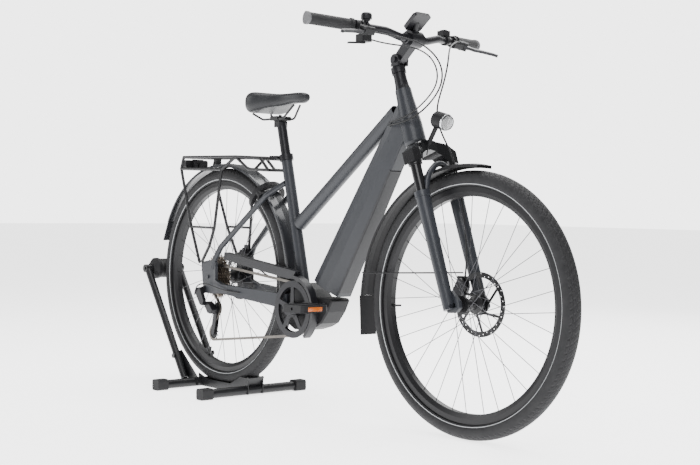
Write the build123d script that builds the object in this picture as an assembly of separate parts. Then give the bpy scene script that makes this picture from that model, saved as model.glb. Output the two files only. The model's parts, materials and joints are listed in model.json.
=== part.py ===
from build123d import *
import math
import os

# Step-through electric bicycle standing in a rear-wheel display stand.
# Millimetres.  X runs forward, Y to the rider's left, Z up, ground at Z = 0.
# Every X below is counted from the rear wheel's axle; the whole model is moved by
# MID_X when it is written, so that the origin lies under the middle of the object.

MID_X = 533.0

# clearances
SEAT_GAP = 0.1        # between pieces that are fixed to each other
RUNNING_GAP = 0.06    # radial, shafts in their bores
FREE_GAP = 0.35       # between pieces that move past each other

# wheels
WHEELBASE = 1140.8
REAR_AXLE_Z = 380.6
TYRE_RADIUS = 361.0
TYRE_WIDTH = 50.8
TYRE_WALL = 4.4
RIM_BEAD_RADIUS = 311.0
RIM_EDGE_RADIUS = 317.0
RIM_INNER_RADIUS = 291.0
RIM_WIDTH = 30.0
SPOKE_COUNT = 32
SPOKE_D = 2.0
SPOKE_SWEEP = 66.0    # turn between a spoke's hub end and its rim end, degrees
AXLE_D = 12.0
HUB_FLANGE_R = 25.0
FRONT_HUB_HALF = 50.0
REAR_HUB_HALF = 66.5
ROTOR_THICKNESS = 1.8
FRONT_ROTOR_R = 88.0
REAR_ROTOR_R = 80.0
FRONT_ROTOR_Y = 40.0
REAR_ROTOR_Y = 53.0

# steering geometry
HEAD_ANGLE = 70.2
HEAD_X = 866.0
HEAD_Z = 951.0
HEAD_LENGTH = 168.0
HEAD_TOP_D = 46.0
HEAD_LOW_D = 64.0
STEERER_D = 28.6
STEER_REST = 3.07     # the front wheel is turned this much to the left
CROWN_OFFSET = 42.0   # stanchions ahead of the steering axis
STANCHION_D = 30.0
STANCHION_HALF = 67.0
LEG_D = 41.0
LEG_TOP_W = -322.0

# frame
SEAT_TUBE_D = 35.0
POST_D = 30.9
TOP_TUBE_D = 43.0
TUBE_WALL = 2.0
STAY_D = 18.0
CRANK_X = 437.0
CRANK_Z = 302.0
MOTOR_HALF = 37.0

# transmission
CRANK_LENGTH = 170.0
CRANK_ANGLE = 6.4
CHAIN_Y = -50.0
CHAIN_PITCH = 12.7
RING_TEETH = 40
COG_TEETH = [36, 32, 28, 24, 21, 18, 15, 13, 11]
COG_STEP = 3.6
CHAIN_COG = 4         # the sprocket that carries the chain, counted from the largest
JOCKEY_TEETH = 11
SPINDLE_D = 20.0
PEDAL_AXLE_D = 9.0

# saddle

# handlebar
BAR_D = 22.2
BAR_HALF = 338.0
BAR_CLAMP_D = 31.8
GRIP_D = 33.0
GRIP_LENGTH = 136.0

# stand
FOOT_HALF = 200.0
FOOT_D = 30.0
FRONT_FOOT_X = 155.0
REAR_FOOT_X = -111.0
ARM_HALF = 65.0
ARM_D = 25.0
ROLLER_R = 37.0
ROLLER_X = -398.5
ROLLER_Z = 390.0

REAR_AXLE = (0.0, REAR_AXLE_Z)
FRONT_AXLE = (WHEELBASE, TYRE_RADIUS)


# ---------------------------------------------------------------- helpers

def polar(radius, degrees, centre=(0.0, 0.0)):
    """Point at a radius and angle round a centre, seen from the side."""
    turn = math.radians(degrees)
    return (centre[0] + radius * math.cos(turn), centre[1] + radius * math.sin(turn))


def rod(start, end, diameter):
    """Straight round bar between two points."""
    start = Vector(*start)
    run = Vector(*end) - start
    plane = Plane(origin=start, z_dir=run.normalized())
    return Solid.make_cylinder(diameter / 2, run.length, plane)


def pipe(start, end, diameter, wall):
    """Straight round tube between two points."""
    return rod(start, end, diameter) - rod(start, end, diameter - 2 * wall)


def taper(start, end, start_d, end_d):
    """Round bar whose diameter changes along its length."""
    start = Vector(*start)
    run = Vector(*end) - start
    plane = Plane(origin=start, z_dir=run.normalized())
    return Solid.make_cone(start_d / 2, end_d / 2, run.length, plane)


def cross_rod(x, z, y_from, y_to, diameter):
    """Round bar across the bicycle."""
    return rod((x, y_from, z), (x, y_to, z), diameter)


def block(x_from, x_to, y_from, y_to, z_from, z_to):
    """Box between two corners."""
    size = (x_to - x_from, y_to - y_from, z_to - z_from)
    middle = ((x_from + x_to) / 2, (y_from + y_to) / 2, (z_from + z_to) / 2)
    return Pos(*middle) * Box(*size)


def side_plate(points, y_from, y_to):
    """Plate with an outline drawn from the side, as (x, z) points."""
    face = Plane.XZ * Polygon(*points, align=None)
    return extrude(Pos(0, y_from, 0) * face, amount=y_to - y_from, dir=(0, 1, 0))


def rounded_plate(points, y_from, y_to, radius):
    """Side plate with its corners rounded in the outline."""
    outline = Polygon(*points, align=None)
    outline = fillet(outline.vertices(), radius)
    face = Plane.XZ * outline
    return extrude(Pos(0, y_from, 0) * face, amount=y_to - y_from, dir=(0, 1, 0))


def turned_ring(points):
    """Solid of revolution round the Y axis from (radius, y) points."""
    return revolve(Polygon(*points, align=None), Axis.Y, 360)


def corner_radii(points):
    """The largest easy bend at each inner point of a route."""
    radii = []
    for before, here, after in zip(points, points[1:], points[2:]):
        first = Vector(*here) - Vector(*before)
        second = Vector(*after) - Vector(*here)
        half_turn = math.radians(first.get_angle(second)) / 2
        radii.append(0.45 * min(first.length, second.length) / math.tan(half_turn))
    return radii


def bent_tube(points, diameter, radii=None):
    """Round bar along straight runs joined by tangent arcs."""
    path = FilletPolyline(*points, radius=radii or corner_radii(points))
    start = Plane(origin=path @ 0, z_dir=path % 0)
    return sweep(start * Circle(diameter / 2), path=path)


def mirrored(points):
    """The same points on the other side of the bicycle."""
    return [(x, -y, z) for x, y, z in points]


def group(*solids):
    """Several loose solids kept as one sub-part."""
    flat = []
    for solid in solids:
        flat.extend(solid.solids())
    return Compound(children=flat)


def toothed_outline(teeth, root_drop=5.2, tip_rise=3.0):
    """Outline of a chain sprocket, with the root and tip set off the pitch circle."""
    pitch_r = sprocket_radius(teeth)
    step = 360.0 / teeth
    points = []
    for tooth in range(teeth):
        base = tooth * step
        points.append(polar(pitch_r - root_drop, base - 0.20 * step))
        points.append(polar(pitch_r - root_drop, base + 0.20 * step))
        points.append(polar(pitch_r + tip_rise, base + 0.42 * step))
        points.append(polar(pitch_r + tip_rise, base + 0.58 * step))
    return points


def sprocket_radius(teeth):
    """Pitch radius of a chain sprocket."""
    return CHAIN_PITCH / (2 * math.sin(math.pi / teeth))


def sprocket(teeth, centre, y, thickness=1.8):
    """Toothed disc, centred on a side-view point."""
    disc = side_plate(toothed_outline(teeth), -thickness / 2, thickness / 2)
    return Pos(centre[0], y, centre[1]) * disc


# the steering axis and what turns about it
HEAD_SLOPE = math.radians(HEAD_ANGLE)
STEER_UP = (-math.cos(HEAD_SLOPE), 0.0, math.sin(HEAD_SLOPE))
STEER_AHEAD = (math.sin(HEAD_SLOPE), 0.0, math.cos(HEAD_SLOPE))
HEAD_PLANE = Plane(origin=(HEAD_X, 0, HEAD_Z), x_dir=STEER_AHEAD, z_dir=STEER_UP)
STEER_AXIS = Axis((HEAD_X, 0, HEAD_Z), STEER_UP)


def steer_point(ahead, across, up):
    """Bicycle coordinates of a point given ahead of and along the steering axis."""
    x = HEAD_X + ahead * STEER_AHEAD[0] + up * STEER_UP[0]
    z = HEAD_Z + ahead * STEER_AHEAD[2] + up * STEER_UP[2]
    return (x, across, z)


def along_steerer(profile):
    """Solid of revolution round the steering axis from (radius, up) points."""
    face = Plane.XZ * Polygon(*profile, align=None)
    return HEAD_PLANE * revolve(face, Axis.Z, 360)


def steered(shape):
    """Turn a steering piece from straight ahead to where it stands."""
    return shape.rotate(STEER_AXIS, STEER_REST)


def write(name, shape):
    """Move a finished sub-part to the model's origin and save it."""
    placed = Pos(-MID_X, 0, 0) * shape
    export_step(placed, os.path.join("parts", name + ".step"))
    print(name, len(placed.solids()), round(placed.volume))


# ---------------------------------------------------------------- wheels

def tyre(centre):
    """Tyre casing, open towards the rim, with its two beads."""
    half = TYRE_WIDTH / 2
    middle_r = TYRE_RADIUS - half
    cut_r = RIM_EDGE_RADIUS + 0.4
    outside = Pos(middle_r, 0) * Circle(half)
    outside &= Pos(cut_r + TYRE_WIDTH / 2, 0) * Rectangle(TYRE_WIDTH, 2 * TYRE_WIDTH)
    bead_low = RIM_BEAD_RADIUS + 0.5
    bead_high = cut_r + 3.0
    for side in (-1, 1):
        bead = Pos((bead_low + bead_high) / 2, side * 10.4) * Rectangle(bead_high - bead_low, 3.8)
        outside += bead
    hollow = Pos(middle_r + 1.0, 0) * Circle(half - TYRE_WALL)
    hollow += Pos(cut_r, 0) * Rectangle(16.6, 16.6)
    casing = revolve(outside - hollow, Axis.Y, 360)
    return Pos(centre[0], 0, centre[1]) * casing


def rim(centre, valve_angle):
    """Double-wall rim with a valve hole, and the valve."""
    edge = RIM_WIDTH / 2
    wall = edge - 2.3
    outline = [(RIM_EDGE_RADIUS, edge), (RIM_EDGE_RADIUS, wall), (RIM_BEAD_RADIUS, wall)]
    outline += [(RIM_BEAD_RADIUS, 8.0), (306.0, 5.0)]
    outline += [(r, -y) for r, y in reversed(outline)]
    outline += [(303.0, -edge), (RIM_INNER_RADIUS, -9.0), (RIM_INNER_RADIUS, 9.0), (303.0, edge)]
    chamber = [(293.5, -7.5), (302.0, -12.5), (304.0, -5.0), (304.0, 5.0), (302.0, 12.5), (293.5, 7.5)]
    hoop = turned_ring(outline) - turned_ring(chamber)
    near = polar(262.0, valve_angle)
    far = polar(309.0, valve_angle)
    hole = rod((near[0], 0, near[1]), (far[0], 0, far[1]), 6.6)
    valve = rod((near[0], 0, near[1]), (far[0], 0, far[1]), 6.0)
    return Pos(centre[0], 0, centre[1]) * group(hoop - hole, valve)


def spokes(centre, flange_right, flange_left):
    """Crossed spokes, alternately to the right and the left flange."""
    rods = []
    step = 360.0 / SPOKE_COUNT
    for index in range(SPOKE_COUNT):
        side = 1 if index % 2 else -1
        trailing = 1 if (index // 2) % 2 else -1
        flange_y = flange_left if side > 0 else flange_right
        rim_angle = index * step
        hub_angle = rim_angle + trailing * SPOKE_SWEEP
        inner = polar(HUB_FLANGE_R + 1.3, hub_angle)
        outer = polar(RIM_INNER_RADIUS - 0.3, rim_angle)
        start = (inner[0], flange_y + trailing * 2.6, inner[1])
        rods.append(rod(start, (outer[0], side * 3.0, outer[1]), SPOKE_D))
    return Pos(centre[0], 0, centre[1]) * group(*rods)


def hub(centre, half, flange_right, flange_left, shell_r, ends, rotor_y, rotor_r):
    """Hub shell with two flanges, and the brake disc bolted to its left side."""
    bore = AXLE_D / 2 + RUNNING_GAP
    right_end, left_end = ends
    profile = [(bore, -half), (right_end, -half), (right_end, flange_right - 4)]
    profile += [(HUB_FLANGE_R - 4, flange_right - 3.7), (HUB_FLANGE_R, flange_right - 3.7)]
    profile += [(HUB_FLANGE_R, flange_right + 3.7), (shell_r, flange_right + 9)]
    profile += [(shell_r, flange_left - 9), (HUB_FLANGE_R, flange_left - 3.7)]
    profile += [(HUB_FLANGE_R, flange_left + 3.7), (left_end, flange_left + 5)]
    profile += [(left_end, half), (bore, half)]
    shell = turned_ring(profile)
    return Pos(centre[0], 0, centre[1]) * group(shell, brake_disc(rotor_y, rotor_r, left_end))


def brake_disc(y, outer_r, hub_r):
    """Brake disc with a drilled friction ring on six slanted arms."""
    low = y - ROTOR_THICKNESS / 2
    high = y + ROTOR_THICKNESS / 2
    inner_r = outer_r - 15.0
    disc = turned_ring([(inner_r, low), (outer_r, low), (outer_r, high), (inner_r, high)])
    carrier_r = hub_r + 12.0
    carrier = [(hub_r + SEAT_GAP, low), (carrier_r, low), (carrier_r, high), (hub_r + SEAT_GAP, high)]
    disc += turned_ring(carrier)
    for arm in range(6):
        inner = polar(carrier_r - 4, arm * 60)
        outer = polar(inner_r + 3, arm * 60 + 38)
        across = Vector(outer[0] - inner[0], 0, outer[1] - inner[1]).normalized()
        side = (across.Z * 3.5, -across.X * 3.5)
        points = [(inner[0] + side[0], inner[1] + side[1]), (outer[0] + side[0], outer[1] + side[1])]
        points += [(outer[0] - side[0], outer[1] - side[1]), (inner[0] - side[0], inner[1] - side[1])]
        disc += side_plate(points, low, high)
    holes = []
    for hole in range(36):
        spot = polar(outer_r - (4.0, 7.6, 11.2)[hole % 3], hole * 10)
        holes.append(cross_rod(spot[0], spot[1], low - 1, high + 1, 3.6))
    return disc - holes


FRONT_FLANGES = (-33.0, 22.0)
REAR_FLANGES = (-20.0, 30.0)
FRONT_HUB = (FRONT_AXLE, FRONT_HUB_HALF, *FRONT_FLANGES, 14.0, (11.0, 17.0), FRONT_ROTOR_Y, FRONT_ROTOR_R)
REAR_HUB = (REAR_AXLE, REAR_HUB_HALF, *REAR_FLANGES, 17.0, (13.0, 18.0), REAR_ROTOR_Y, REAR_ROTOR_R)


def build_wheels():
    write("tyre_rear", tyre(REAR_AXLE))
    write("rim_rear", rim(REAR_AXLE, 250))
    write("spokes_rear", spokes(REAR_AXLE, *REAR_FLANGES))
    write("hub_rear", hub(*REAR_HUB))
    write("tyre_front", steered(tyre(FRONT_AXLE)))
    write("rim_front", steered(rim(FRONT_AXLE, 184)))
    write("spokes_front", steered(spokes(FRONT_AXLE, *FRONT_FLANGES)))
    write("hub_front", steered(hub(*FRONT_HUB)))


# ---------------------------------------------------------------- frame

SEAT_TOP = (322.0, 0.0, 776.0)
SEAT_LOW = (431.0, 0.0, 345.0)
TOP_TUBE_REAR = (402.0, 0.0, 566.0)
TOP_TUBE_FRONT = (838.0, 0.0, 888.0)

# side outline of the down tube: rear edge and the seam of the battery cover
DOWN_REAR_LOW = (497.0, 400.0)
DOWN_REAR_TOP = (846.0, 898.0)
DOWN_SEAM_LOW = (612.0, 352.0)
DOWN_SEAM_TOP = (884.0, 800.0)
DOWN_LOW_HALVES = (24.0, 38.0, 26.0)    # half widths at the rear, middle and seam
DOWN_TOP_HALVES = (14.5, 23.0, 22.2)
DOWN_END_AHEAD = -10.0     # the tube ends this far ahead of the steering axis
DOWN_TOP_SHARE = 1.10    # the tube runs on into the head tube's back
DOWN_WALL = 3.0
COVER_THICKNESS = 6.0


def head_tube():
    """Tapered head tube; its two bearing seats guide the steerer."""
    seat_r = STEERER_D / 2 + RUNNING_GAP
    top_r = HEAD_TOP_D / 2
    low_r = HEAD_LOW_D / 2
    profile = [(seat_r, 0), (top_r, 0), (top_r + 1, -25), (low_r - 1, -106), (low_r, -HEAD_LENGTH + 8)]
    profile += [(low_r - 3, -HEAD_LENGTH), (seat_r, -HEAD_LENGTH), (seat_r, -HEAD_LENGTH + 12)]
    profile += [(seat_r + 3, -HEAD_LENGTH + 16), (seat_r + 3, -16), (seat_r, -12)]
    return along_steerer(profile)


def head_blank(extra):
    """Outer envelope of the head tube, used to trim the tubes that meet it."""
    top_r = HEAD_TOP_D / 2 + extra
    low_r = HEAD_LOW_D / 2 + extra
    profile = [(0, 60), (top_r, 60), (top_r, 0), (top_r + 1, -25), (low_r - 1, -106),
        (low_r, -HEAD_LENGTH + 8)]
    profile += [(low_r, -260), (0, -260)]
    return along_steerer(profile)


def seat_axis(share):
    """Point on the seat tube's axis, from its top to its foot."""
    start = Vector(*SEAT_TOP)
    point = start + (Vector(*SEAT_LOW) - start) * share
    return (point.X, point.Y, point.Z)


def seat_tube():
    """Seat tube, bored for the seat post, open into the motor housing's top."""
    bore = POST_D + 2 * RUNNING_GAP
    tube = rod(SEAT_TOP, seat_axis(1.0), SEAT_TUBE_D) - rod(SEAT_TOP, seat_axis(1.0), bore)
    return tube - motor_blank(SEAT_GAP)


def seat_tube_blank():
    """Envelope of the seat tube, used to trim what meets it."""
    return rod(seat_axis(-0.05), seat_axis(1.05), SEAT_TUBE_D + 2 * SEAT_GAP)


def top_tube():
    """Sloping top tube between the seat tube and the down tube's head gusset."""
    start = Vector(*TOP_TUBE_REAR)
    run = (Vector(*TOP_TUBE_FRONT) - start).normalized()
    low = start - run * 6
    high = Vector(*TOP_TUBE_FRONT) + run * 6
    low = (low.X, 0, low.Z)
    high = (high.X, 0, high.Z)
    tube = pipe(low, high, TOP_TUBE_D, TUBE_WALL)
    tube -= seat_tube_blank()
    tube -= head_blank(SEAT_GAP)
    tube -= down_loft(SEAT_GAP, 0.0)
    return biggest(tube)


def biggest(shape):
    """The largest solid of a trimmed shape."""
    return max(shape.solids(), key=lambda solid: solid.volume)


def down_section(rear, seam, grow, widths, past_seam):
    """Cross-section of the down tube between its rear edge and the seam."""
    rear_point = Vector(rear[0], 0, rear[1])
    seam_point = Vector(seam[0], 0, seam[1])
    depth = (seam_point - rear_point).length
    ahead = (seam_point - rear_point).normalized()
    plane = Plane(origin=rear_point, x_dir=ahead, z_dir=ahead.cross(Vector(0, 1, 0)))
    rear_half, mid_half, seam_half = (width + grow for width in widths)
    points = [(-grow, rear_half * 0.6), (0.10 * depth - grow, rear_half + 5), (0.34 * depth, mid_half)]
    points += [(0.66 * depth, mid_half), (depth + past_seam, seam_half)]
    points += [(x, -y) for x, y in reversed(points)]
    outline = Polygon(*points, align=None)
    sharp = outline.vertices().filter_by(lambda corner: not 0.2 * depth < corner.X < 0.8 * depth)
    return plane * fillet(sharp, 3.0)


def between(first, second, share):
    """Point part of the way between two side-view points."""
    return tuple(a + (b - a) * share for a, b in zip(first, second))


def down_loft(grow, past_seam, low=0.0, high=DOWN_TOP_SHARE, inset=0.0):
    """Body of the down tube, or of what lies inside it, between two heights."""
    sections = []
    for share in (low, high):
        widths = [between((a,), (b,), share)[0] for a, b in zip(DOWN_LOW_HALVES, DOWN_TOP_HALVES)]
        widths = [width - inset for width in widths]
        rear = between(DOWN_REAR_LOW, DOWN_REAR_TOP, share)
        seam = between(DOWN_SEAM_LOW, DOWN_SEAM_TOP, share)
        rear = between(rear, seam, inset / math.dist(rear, seam))
        sections.append(down_section(rear, seam, grow, widths, past_seam))
    return loft(sections)


DOWN_FOOT_Z = 349.0
PORT_FOOT = (836.0, -25.0, 855.0)
PORT_MOUTH = (880.0, -45.0, 853.0)
VENT_X = 836.0
VENT_Z = 808.0


def down_tube():
    """Deep hollow tube with an open front that takes the battery."""
    shell = down_loft(0.0, COVER_THICKNESS)
    cover_room = down_loft(10.0, 20.0, BAY_LOW - 0.008, BAY_HIGH)
    shell -= cover_room - down_loft(12.0, 0.0, BAY_LOW - 0.2, BAY_HIGH + 0.2)
    shell -= down_loft(0.0, 3.2, BAY_LOW, BAY_HIGH, DOWN_WALL)
    shell &= HEAD_PLANE * (Pos(DOWN_END_AHEAD - 300, 0, -300) * Box(600, 200, 900))
    shell -= head_blank(SEAT_GAP)
    shell -= motor_blank(SEAT_GAP)
    shell -= block(400, 900, -100, 100, 0, DOWN_FOOT_Z)
    shell -= rod(PORT_FOOT, PORT_MOUTH, 17)
    shell -= rod((VENT_X, -54, VENT_Z), (VENT_X, -24, VENT_Z), 8)
    return biggest(shell)


BAY_LOW = 0.035
BAY_HIGH = 0.84
BATTERY_HALF = 19.0
BATTERY_INSET = 17.0      # from the tube's rear edge to the case
BATTERY_PIVOT = (626.0, 361.4)
BATTERY_REACH = 418.0     # from the pivot to the case's far end


def battery():
    """Battery case with its keyed cover; both swing out about the cover's foot."""
    outline = []
    for share, inner_first in ((BAY_LOW + 0.0008, True), (BAY_HIGH, False)):
        rear = between(DOWN_REAR_LOW, DOWN_REAR_TOP, share)
        seam = between(DOWN_SEAM_LOW, DOWN_SEAM_TOP, share)
        depth = math.dist(rear, seam)
        corners = [between(rear, seam, BATTERY_INSET / depth), between(rear, seam, 1 - 0.1 / depth)]
        outline += corners if inner_first else corners[::-1]
    case = side_plate(outline, -BATTERY_HALF, BATTERY_HALF)
    case &= cross_rod(*BATTERY_PIVOT, -60, 60, 2 * BATTERY_REACH)
    cover = down_loft(0.0, COVER_THICKNESS, BAY_LOW - 0.0076, BAY_HIGH - 0.005, 0.3)
    cover -= down_loft(10.0, 0.1, BAY_LOW - 0.2, BAY_HIGH + 0.2)
    return group(biggest(case), biggest(cover))


def motor_outline(extra):
    """Side outline of the drive unit."""
    points = [(383, 343), (368, 300), (381, 256), (420, 238), (478, 240), (522, 252)]
    points += [(552, 266), (584, 303), (603, 338), (592, 344), (520, 344), (492, 366), (455, 384)]
    middle = (CRANK_X + 50, CRANK_Z)
    grown = []
    for point in points:
        reach = math.dist(point, middle)
        grown.append(between(middle, point, (reach + extra) / reach))
    return grown


def motor_blank(extra):
    """Envelope of the drive unit."""
    return rounded_plate(motor_outline(extra), -MOTOR_HALF - extra, MOTOR_HALF + extra, 6)


def motor_unit():
    """Drive unit and the plastic guard in front of and below it."""
    body = motor_blank(0)
    body = chamfer(body.faces().filter_by(Axis.Y).edges(), 4)
    body -= cross_rod(CRANK_X, CRANK_Z, -60, 60, SPINDLE_D + 2 * RUNNING_GAP)
    splitter = side_plate([(505, 200), (700, 200), (700, 343.6), (533, 343.6), (505, 290)], -60, 60)
    guard = body & splitter
    core = body - splitter
    guard = Pos(0.4, 0, 0) * guard
    return group(biggest(core), biggest(guard))


STAY_POINTS = [(333.0, 12.0, 690.0), (280.0, 45.0, 652.0), (62.0, 67.0, 481.0), (34.0, 71.0, 440.0),
    (22.0, 71.0, 408.0)]


def rear_triangle(side):
    """Seat stay, chain stay and dropout of one side, welded into one piece."""
    stay = bent_tube([(x, side * y, z) for x, y, z in STAY_POINTS], STAY_D, [30, 40, 25])
    plan = [(-40, 67.2), (30, 67.2), (90, 61), (340, 27), (400, 25), (400, 45), (352, 45), (115, 78),
        (60, 78), (30, 75.2), (-40, 75.2)]
    outline = [(-30, 348), (-22, 326), (30, 326), (90, 330), (365, 300), (392, 300)]
    outline += [(392, 345), (350, 345), (80, 360), (44, 372), (44, 430), (8, 436), (-16, 432),
        (-40, 428), (-40, 412)]
    plan_face = Polygon(*[(x, side * y) for x, y in plan], align=None)
    arm = extrude(plan_face, amount=500, dir=(0, 0, 1)) & side_plate(outline, -100, 100)
    piece = arm + stay
    piece -= cross_rod(0, REAR_AXLE_Z, -100, 100, AXLE_D + 2 * SEAT_GAP)
    piece -= motor_blank(SEAT_GAP)
    piece -= seat_tube_blank()
    return biggest(piece)


def build_frame():
    write("head_tube", head_tube())
    write("seat_tube", seat_tube())
    write("top_tube", top_tube())
    write("down_tube", down_tube())
    write("battery", battery())
    write("motor_unit", motor_unit())
    axle = cross_rod(0, REAR_AXLE_Z, -79, 79, AXLE_D)
    nut = cross_rod(0, REAR_AXLE_Z, 75.3, 81, 20) - cross_rod(0, REAR_AXLE_Z, 70, 90, AXLE_D + 2 * SEAT_GAP)
    write("rear_triangle_right", rear_triangle(-1))
    write("rear_triangle_left", group(rear_triangle(1), axle, nut))


# ---------------------------------------------------------------- transmission

def tangent_run(first, second):
    """Ends of the straight run of chain between two wheels, given as (centre, radius, turn)."""
    (centre_a, radius_a, turn_a), (centre_b, radius_b, turn_b) = first, second
    across = (centre_b[0] - centre_a[0], centre_b[1] - centre_a[1])
    distance = math.hypot(*across)
    heading = math.atan2(across[1], across[0])
    heading -= math.asin((turn_b * radius_b - turn_a * radius_a) / distance)
    left = (-math.sin(heading), math.cos(heading))
    start = (centre_a[0] - turn_a * radius_a * left[0], centre_a[1] - turn_a * radius_a * left[1])
    end = (centre_b[0] - turn_b * radius_b * left[0], centre_b[1] - turn_b * radius_b * left[1])
    return start, end


def arc_middle(centre, radius, turn, start, end):
    """Point half way round the wrapped part of a wheel."""
    angle_a = math.degrees(math.atan2(start[1] - centre[1], start[0] - centre[0]))
    angle_b = math.degrees(math.atan2(end[1] - centre[1], end[0] - centre[0]))
    sweep_angle = (angle_b - angle_a) % 360 if turn > 0 else -((angle_a - angle_b) % 360)
    return polar(radius, angle_a + sweep_angle / 2, centre)


def chain_face(offset):
    """Face bounded by the chain's line, moved outward by an offset."""
    wheels = [(centre, radius + turn * offset, turn) for centre, radius, turn in CHAIN_WHEELS]
    runs = [tangent_run(wheels[i], wheels[(i + 1) % len(wheels)]) for i in range(len(wheels))]
    edges = []
    for index, (start, end) in enumerate(runs):
        centre, radius, turn = wheels[index]
        arrive = runs[index - 1][1]
        edges.append(ThreePointArc(arrive, arc_middle(centre, radius, turn, arrive, start), start))
        edges.append(Line(start, end))
    return Plane.XZ * make_face(edges)


COG_RADIUS = sprocket_radius(COG_TEETH[CHAIN_COG])
RING_RADIUS = sprocket_radius(RING_TEETH)
JOCKEY_RADIUS = sprocket_radius(JOCKEY_TEETH)
UPPER_JOCKEY = (17.0, 277.0)
LOWER_JOCKEY = (2.0, 193.0)
CHAIN_WHEELS = [
    ((CRANK_X, CRANK_Z), RING_RADIUS, 1),
    (REAR_AXLE, COG_RADIUS, 1),
    (UPPER_JOCKEY, JOCKEY_RADIUS, -1),
    (LOWER_JOCKEY, JOCKEY_RADIUS, 1),
]
CHAIN_HALF_HEIGHT = 4.0
CHAIN_GAP = 1.3       # between the chain's plates and the middle of the sprockets
CHAIN_PLATE = 1.15
COG_LARGEST_Y = CHAIN_Y + CHAIN_COG * COG_STEP


def chain():
    """The chain's two rows of side plates, joined nowhere that a tooth passes."""
    band = chain_face(CHAIN_HALF_HEIGHT) - chain_face(-CHAIN_HALF_HEIGHT)
    rows = []
    for side in (-1, 1):
        near = CHAIN_Y + side * CHAIN_GAP
        rows.append(extrude(Pos(0, near, 0) * band, amount=CHAIN_PLATE, dir=(0, side, 0)))
    return group(*rows)


def cassette():
    """Stack of sprockets on a splined carrier."""
    bore = 13.0 + SEAT_GAP
    last_y = COG_LARGEST_Y - (len(COG_TEETH) - 1) * COG_STEP
    carrier = [(bore, last_y - 1.5), (17.0, last_y - 1.5), (17.0, COG_LARGEST_Y + 1),
        (bore, COG_LARGEST_Y + 1)]
    body = Pos(0, 0, REAR_AXLE_Z) * turned_ring(carrier)
    opening = cross_rod(0, REAR_AXLE_Z, -80, 0, 2 * bore)
    for index, teeth in enumerate(COG_TEETH):
        disc = sprocket(teeth, REAR_AXLE, COG_LARGEST_Y - index * COG_STEP, 1.5)
        if sprocket_radius(teeth) > 40:
            for window in range(6):
                spot = polar(sprocket_radius(teeth) * 0.66, window * 60 + index * 12, REAR_AXLE)
                disc -= cross_rod(*spot, -80, 0, sprocket_radius(teeth) * 0.30)
        body += disc - opening
    return body


def jockey(centre):
    """Small guide wheel of the derailleur."""
    return sprocket(JOCKEY_TEETH, centre, CHAIN_Y) - cross_rod(*centre, -80, -20, 6.0 + 2 * RUNNING_GAP)


def derailleur():
    """Hanger, parallelogram body and the cage that carries both guide wheels."""
    outer = CHAIN_Y - 7.0
    inner = CHAIN_Y + 5.0
    cage = [polar(9, 150, UPPER_JOCKEY), polar(11, 30, UPPER_JOCKEY), polar(11, -20, UPPER_JOCKEY)]
    cage += [polar(9, 0, LOWER_JOCKEY), polar(9, -90, LOWER_JOCKEY), polar(9, 180, LOWER_JOCKEY)]
    plates = rounded_plate(cage, outer, outer + 2, 4) + rounded_plate(cage, inner, inner + 2, 4)
    for centre in (UPPER_JOCKEY, LOWER_JOCKEY):
        plates += cross_rod(*centre, outer, inner + 2, 6.0)
    knuckle = rounded_plate([(-6, 300), (12, 292), (32, 272), (22, 258), (4, 262), (-14, 284)], -80, outer, 5)
    link = rounded_plate([(-46, 340), (-26, 346), (-2, 300), (-10, 284), (-24, 288), (-50, 322)], -92,
        -80.1, 5)
    hanger = rounded_plate([(-34, 346), (-14, 350), (-14, 325), (-36, 322)], -80, -75.4, 4)
    return group(plates + knuckle + link + hanger)


def chainring():
    """Toothed ring with five arms, and the smooth guard disc outside it."""
    centre = (CRANK_X, CRANK_Z)
    disc = sprocket(RING_TEETH, centre, CHAIN_Y, 2.0)
    opening_r = RING_RADIUS - 14
    ring = disc - cross_rod(*centre, -80, 0, 2 * opening_r)
    boss = cross_rod(*centre, CHAIN_Y - 9, CHAIN_Y + 5, 46)
    for arm in range(5):
        tip = polar(opening_r + 4, 90 + 72 * arm, centre)
        side = polar(7, 180 + 72 * arm)
        foot = polar(10, 90 + 72 * arm, centre)
        points = [(tip[0] + side[0], tip[1] + side[1]), (tip[0] - side[0], tip[1] - side[1])]
        points += [(foot[0] - 1.3 * side[0], foot[1] - 1.3 * side[1]),
            (foot[0] + 1.3 * side[0], foot[1] + 1.3 * side[1])]
        ring += side_plate(points, CHAIN_Y - 8, CHAIN_Y - 5)
        ring += cross_rod(*polar(opening_r + 1, 90 + 72 * arm, centre), CHAIN_Y - 8, CHAIN_Y + 1, 8)
    guard_ring = [(RING_RADIUS - 12, CHAIN_Y - 8), (RING_RADIUS + 7, CHAIN_Y - 8)]
    guard_ring += [(RING_RADIUS + 7, CHAIN_Y - 5.6), (RING_RADIUS - 12, CHAIN_Y - 5.6)]
    ring += Pos(CRANK_X, 0, CRANK_Z) * turned_ring(guard_ring)
    ring += boss
    return ring - cross_rod(*centre, -80, 0, SPINDLE_D + 2 * SEAT_GAP)


def pedal_spot(side):
    """Side-view place of a pedal's axle."""
    turn = CRANK_ANGLE if side < 0 else CRANK_ANGLE + 180
    return polar(CRANK_LENGTH, turn, (CRANK_X, CRANK_Z))


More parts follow.
